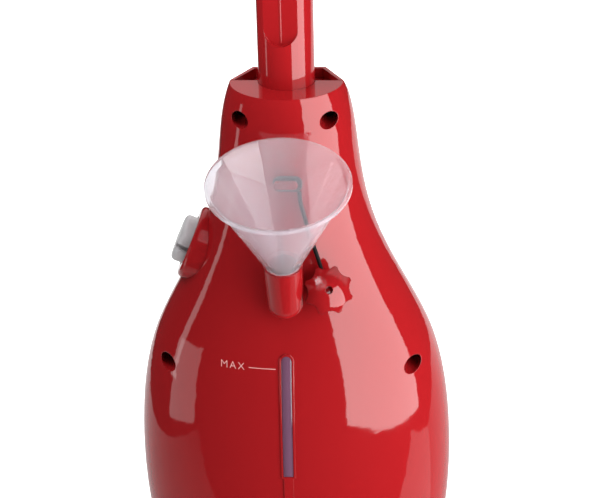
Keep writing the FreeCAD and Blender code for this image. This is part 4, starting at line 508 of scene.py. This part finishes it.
# %% [markdown]
# ## The microfibre pad
# The pad under the head is a flat cushion of looped microfibre on a foam backing. A loose
# cushion would be blown up by a cloth simulation. This one is held flat between the head's
# plate and the floor, so it is modelled as it lies: rings of points in the head's plan, round
# at the edge. The loops of yarn, about two millimetres across, are a Voronoi pattern used as a
# bump of one millimetre.

# %% The pad's form
PAD_LOOP = 2.2 * MM
PILE_HEIGHT = 1.0 * MM
PAD_TAPER = 34 * MM
PAD_CORNER = 36 * MM
PAD_ROWS, PAD_RING = 96, 128
SIDE_BLUNTNESS, TOP_BLUNTNESS = 0.12, 0.75
EDGE_ROUNDING = 0.6
RIM_SHARE = 0.25
pad_low, pad_high = [Vector(corner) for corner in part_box("microfibre_pad")]


def pad_plan(y):
    """Half width of the pad at a place along its depth, from the CAD piece's own outline."""
    share = (y - pad_low.y) / (pad_high.y - pad_low.y)
    rear_half, front_half = pad_high.x, pad_high.x - PAD_TAPER
    return rear_half + (front_half - rear_half) * share


def soft_pad(form):
    """Rows along the pad's depth, each a closed ring over its top, edge and bottom."""
    depth = pad_high.y - pad_low.y
    thick = pad_high.z - pad_low.z
    rings = []
    for i in range(PAD_ROWS + 1):
        angle = math.pi * i / PAD_ROWS
        y = (pad_low.y + pad_high.y) / 2 - math.cos(angle) * depth / 2
        to_edge = min(y - pad_low.y, pad_high.y - y)
        inset = max(0.0, PAD_CORNER - to_edge)
        half = pad_plan(y) - (PAD_CORNER - math.sqrt(max(PAD_CORNER ** 2 - inset ** 2, 0.0)))
        slope = max(0.0, 1 - to_edge / (thick * EDGE_ROUNDING))
        fullness = min(1.0, math.sqrt(max(0.0, 1 - slope ** 2)))
        ring = []
        for j in range(PAD_RING):
            turn = 2 * math.pi * j / PAD_RING
            reach = math.copysign(abs(math.cos(turn)) ** SIDE_BLUNTNESS, math.cos(turn))
            rise = math.copysign(abs(math.sin(turn)) ** TOP_BLUNTNESS, math.sin(turn))
            z = ((pad_low.z + pad_high.z) / 2
                 + rise * thick / 2 * (RIM_SHARE + (1 - RIM_SHARE) * fullness))
            ring.append(form.verts.new((reach * half, y, z)))
        rings.append(ring)
    for near, far in zip(rings, rings[1:]):
        for j in range(PAD_RING):
            k = (j + 1) % PAD_RING
            form.faces.new((near[j], near[k], far[k], far[j]))
    form.faces.new(list(reversed(rings[0])))
    form.faces.new(rings[-1])


pad = flat_mesh("microfibre_cushion", soft_pad)
for face in pad.data.polygons:
    face.use_smooth = True
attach(pad, "mop_head")
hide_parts("microfibre_pad")
print("pad faces:", len(pad.data.polygons))

# %% The pad's looped microfibre
microfibre, tree = finish("microfibre_looped_white")
place = add(tree, "ShaderNodeTexCoord")
loops = add(tree, "ShaderNodeTexVoronoi", links={"Vector": place.outputs["Object"]},
            Scale=1 / PAD_LOOP)
pile = add(tree, "ShaderNodeBump", {"invert": True}, links={"Height": loops.outputs["Distance"]},
           Strength=0.9, Distance=PILE_HEIGHT)
shader = add(tree, "ShaderNodeBsdfPrincipled", links={"Normal": pile.outputs["Normal"]},
             Base_Color=linear("#E9E9E6"), Roughness=0.9, Sheen_Weight=0.35,
             Sheen_Roughness=0.4)
settle(tree, shader)
paint(microfibre, pad)
print("loops of", round(PAD_LOOP / MM, 1), "mm on the pad")

# %% [markdown]
# ## The studio
# A pale floor runs out to the horizon and the room behind is white. A mirror-like skin shows
# only what stands round it, so the shapes of the lamps matter more than their number: one tall
# softbox on the right draws the broad sharp band down the body and the pole, and narrow strips
# on the left draw the thin one. The room on the viewer's side is dim, so the red keeps its
# depth.
#
# The floor is lit by the lamps, so it keeps the mop's shadow, and for the camera it is lifted
# to white. Seen through the funnel it is an even white, a little under full. Reflections don't
# see it: they get a table of their own in the next step.

# %% Floor
FLOOR_WHITE = "#EFEFEF"
FLOOR_REACH = 6
FLOOR_DROP, TABLE_DROP = -0.5 * MM, -0.4 * MM
CAMERA_LIFT = 0.72
THROUGH_WHITE = 0.8


def flat_stage(name, outline, height):
    """A flat piece of the studio, level, from the corners of its outline."""
    mesh = bpy.data.meshes.new(name)
    mesh.from_pydata([(x, y, height) for x, y in outline], [], [tuple(range(len(outline)))])
    thing = bpy.data.objects.new(name, mesh)
    bpy.context.scene.collection.objects.link(thing)
    return thing


floor_corners = [(-FLOOR_REACH, -FLOOR_REACH), (FLOOR_REACH, -FLOOR_REACH),
                 (FLOOR_REACH, FLOOR_REACH), (-FLOOR_REACH, FLOOR_REACH)]
floor = flat_stage("studio_floor", floor_corners, FLOOR_DROP)
floor.visible_glossy = False
pale_floor, tree = finish("pale_studio_floor")
rays = add(tree, "ShaderNodeLightPath")
surface = add(tree, "ShaderNodeBsdfPrincipled", Base_Color=linear(FLOOR_WHITE), Roughness=0.7)
lift = add(tree, "ShaderNodeMath", {"operation": "MULTIPLY"},
           links={0: rays.outputs["Is Camera Ray"]})
lift.inputs[1].default_value = CAMERA_LIFT
glow = add(tree, "ShaderNodeEmission", links={"Strength": lift.outputs[0]})
lit = add(tree, "ShaderNodeAddShader", links={0: surface.outputs[0], 1: glow.outputs[0]})
through = add(tree, "ShaderNodeEmission", Strength=THROUGH_WHITE)
ground = add(tree, "ShaderNodeMixShader", links={0: rays.outputs["Is Transmission Ray"],
                                                 1: lit.outputs[0], 2: through.outputs[0]})
settle(tree, ground)
paint(pale_floor, floor)
print("floor", 2 * FLOOR_REACH, "m wide")

# %% [markdown]
# What the glossy skin shows of the table is two separate white sheets, cut away towards the
# viewer, where a black cloth would hang in a real studio. Only reflections see them. The wide
# one fades towards the front, and the narrow one lies at the foot of the right-hand softbox.
# Real sheets of paper would need lamps of their own, so these simply glow.

# %% The table in the reflections
TABLE_GLOW = 0.45
TABLE_FADE = 0.8
FOOT_GLOW = 1.0
FADE_FRONT, FADE_BACK = -0.5, 0.8
FOOT_LEFT, FOOT_RIGHT, FOOT_FRONT, FOOT_BACK = 0.34, 0.62, -0.17, 0.06
TABLE_LEFT, TABLE_RIGHT, TABLE_BACK = -0.57, 1.0, 1.6


def white_sheet(name, glow, fade):
    """Plain light: glow in the middle, and fade more of it for each metre back."""
    material, tree = finish(name)
    place = add(tree, "ShaderNodeTexCoord")
    along = add(tree, "ShaderNodeSeparateXYZ", links={0: place.outputs["Object"]})
    level = add(tree, "ShaderNodeMapRange", links={"Value": along.outputs["Y"]},
                From_Min=FADE_FRONT, From_Max=FADE_BACK,
                To_Min=glow + FADE_FRONT * fade, To_Max=glow + FADE_BACK * fade)
    settle(tree, add(tree, "ShaderNodeEmission", links={"Strength": level.outputs[0]}))
    return material


table_corners = [(TABLE_LEFT, -0.36), (-0.33, -0.28), (FOOT_LEFT, FOOT_FRONT),
                 (FOOT_LEFT, FOOT_BACK), (FOOT_RIGHT, FOOT_BACK), (TABLE_RIGHT, 0.5),
                 (TABLE_RIGHT, TABLE_BACK), (TABLE_LEFT, TABLE_BACK)]
foot_corners = [(FOOT_LEFT, FOOT_FRONT), (FOOT_RIGHT, FOOT_FRONT), (FOOT_RIGHT, FOOT_BACK),
                (FOOT_LEFT, FOOT_BACK)]
table = flat_stage("reflected_table", table_corners, TABLE_DROP)
table_foot = flat_stage("reflected_table_foot", foot_corners, TABLE_DROP)
paint(white_sheet("white_table_sheet", TABLE_GLOW, TABLE_FADE), table)
paint(white_sheet("white_foot_sheet", FOOT_GLOW, 0.0), table_foot)
for sheet in (table, table_foot):
    for ray in ("camera", "diffuse", "transmission", "volume_scatter", "shadow"):
        setattr(sheet, "visible_" + ray, False)
print("sheets for reflections only:", table.name, "and", table_foot.name)

# %% [markdown]
# The room is one world shader. The camera sees plain white, also through the funnel's wall.
# Reflections see a dim room with a bright wall high up behind the object. All other light
# comes softly from everywhere, and more of it from above. Walls and a ceiling of real meshes
# would do the same with more pieces to keep in step.

# %% The room
WALL = 0.72
DIM_ROOM = 0.04
FILL_LEVEL = 0.2
FILL_ABOVE = 0.72
WALL_FROM, WALL_TO = 0.3, 0.5
HIGH_FROM, HIGH_TO = 0.15, 0.35

room = bpy.data.worlds.new("white_studio_room")
bpy.context.scene.world = room
room.use_nodes = True
tree = room.node_tree
tree.nodes.clear()
rays = add(tree, "ShaderNodeLightPath")
place = add(tree, "ShaderNodeTexCoord")
along = add(tree, "ShaderNodeSeparateXYZ", links={0: place.outputs["Generated"]})
fill = add(tree, "ShaderNodeMapRange", links={"Value": along.outputs["Z"]},
           From_Min=0.0, From_Max=1.0, To_Min=FILL_LEVEL, To_Max=FILL_ABOVE)
behind = add(tree, "ShaderNodeMapRange", {"interpolation_type": "SMOOTHSTEP"},
             links={"Value": along.outputs["Y"]},
             From_Min=WALL_FROM, From_Max=WALL_TO, To_Min=0.0, To_Max=1.0)
high = add(tree, "ShaderNodeMapRange", {"interpolation_type": "SMOOTHSTEP"},
           links={"Value": along.outputs["Z"]},
           From_Min=HIGH_FROM, From_Max=HIGH_TO, To_Min=0.0, To_Max=1.0)
part = add(tree, "ShaderNodeMath", {"operation": "MULTIPLY"},
           links={0: behind.outputs[0], 1: high.outputs[0]})
wall = add(tree, "ShaderNodeMapRange", links={"Value": part.outputs[0]},
           From_Min=0.0, From_Max=1.0, To_Min=DIM_ROOM, To_Max=WALL)
seen = add(tree, "ShaderNodeMath", {"operation": "MAXIMUM"},
           links={0: rays.outputs["Is Camera Ray"], 1: rays.outputs["Is Transmission Ray"]})
mirrored = add(tree, "ShaderNodeMix", {"data_type": "FLOAT"},
               links={0: rays.outputs["Is Glossy Ray"], 2: fill.outputs[0], 3: wall.outputs[0]})
strength = add(tree, "ShaderNodeMix", {"data_type": "FLOAT"},
               links={0: seen.outputs[0], 2: mirrored.outputs[0]})
strength.inputs[3].default_value = 1.0
light = add(tree, "ShaderNodeBackground", links={"Strength": strength.outputs[0]},
            Color=linear("#FFFFFF"))
output = tree.nodes.new("ShaderNodeOutputWorld")
tree.links.new(light.outputs[0], output.inputs["Surface"])
print("room: wall", WALL, "front", DIM_ROOM)

# %% [markdown]
# A softbox is an area lamp: a flat panel that glows evenly. Each is set by where it stands
# round the object, how wide and tall it is, and how bright its face is, because that face is
# what the red skin shows. The lamp's power follows from the brightness and the area. The left
# strip is two panels, because its lower part is wider.

# %% Softboxes


def softbox(name, facing, distance, sides, heights, brightness):
    """A panel square to the object: facing in degrees round from the viewer's side."""
    turn = math.radians(facing)
    outward = Vector((math.sin(turn), -math.cos(turn), 0))
    across = Vector((math.cos(turn), math.sin(turn), 0))
    width, tall = sides[1] - sides[0], heights[1] - heights[0]
    lamp = bpy.data.lights.new(name, "AREA")
    lamp.shape = "RECTANGLE"
    lamp.size, lamp.size_y = width, tall
    lamp.energy = brightness * math.pi * width * tall
    panel = bpy.data.objects.new(name, lamp)
    bpy.context.scene.collection.objects.link(panel)
    middle = outward * distance + across * (sides[0] + sides[1]) / 2
    middle.z = (heights[0] + heights[1]) / 2
    panel.matrix_world = (Matrix.Translation(middle)
                          @ Matrix((-across, Vector((0, 0, 1)), outward)).transposed().to_4x4())
    panel.visible_camera = False
    print(name, "power in watts:", round(lamp.energy, 1))
    return panel


softbox("softbox_key", 55, 0.7, (-0.36, 0.42), (0.0, 0.95), 5.1)
softbox("strip_left_upper", -75, 0.3, (-0.05, -0.015), (0.22, 0.42), 1.8)
softbox("strip_left_lower", -75, 0.3, (-0.035, 0.085), (0.16, 0.30), 1.3)

# %% [markdown]
# Three more lamps only lift the red where it would sink: a wide one high over the left
# shoulder for the ledge and the left side, a narrow beam on the pole, and a wide one for the
# side that faces away from the softboxes. Reflections don't see them.

# %% Lifting lamps


def lifting_lamp(name, kind, spot, aim, power, **settings):
    """A lamp at a spot that points at its aim and that no reflection shows."""
    lamp = bpy.data.lights.new(name, kind)
    lamp.energy = power
    for key, value in settings.items():
        setattr(lamp, key, value)
    thing = bpy.data.objects.new(name, lamp)
    bpy.context.scene.collection.objects.link(thing)
    thing.location = spot
    thing.rotation_mode = "QUATERNION"
    thing.rotation_quaternion = (Vector(aim) - Vector(spot)).to_track_quat("-Z", "Y")
    thing.visible_glossy = False
    thing.visible_camera = False


lifting_lamp("lamp_over_shoulder", "AREA", (-0.3, -0.1, 1.3), (0, 0, 0.4), 5.0, size=0.4)
lifting_lamp("beam_on_pole", "SPOT", (-0.25, -0.5, 0.75), (0, 0, 0.57), 14.0,
             spot_size=math.radians(34), spot_blend=1.0, shadow_soft_size=0.05)
lifting_lamp("lamp_behind", "AREA", (0.1, 1.5, 0.8), (0, 0, 0.4), 16.0, size=0.8)
print("lamps:", len(bpy.data.lights))

# %% [markdown]
# ## Finish
# Colours are shown by the plain Standard view, so that each finish looks as it is written.

# %% Finish
bpy.context.scene.view_settings.view_transform = "Standard"
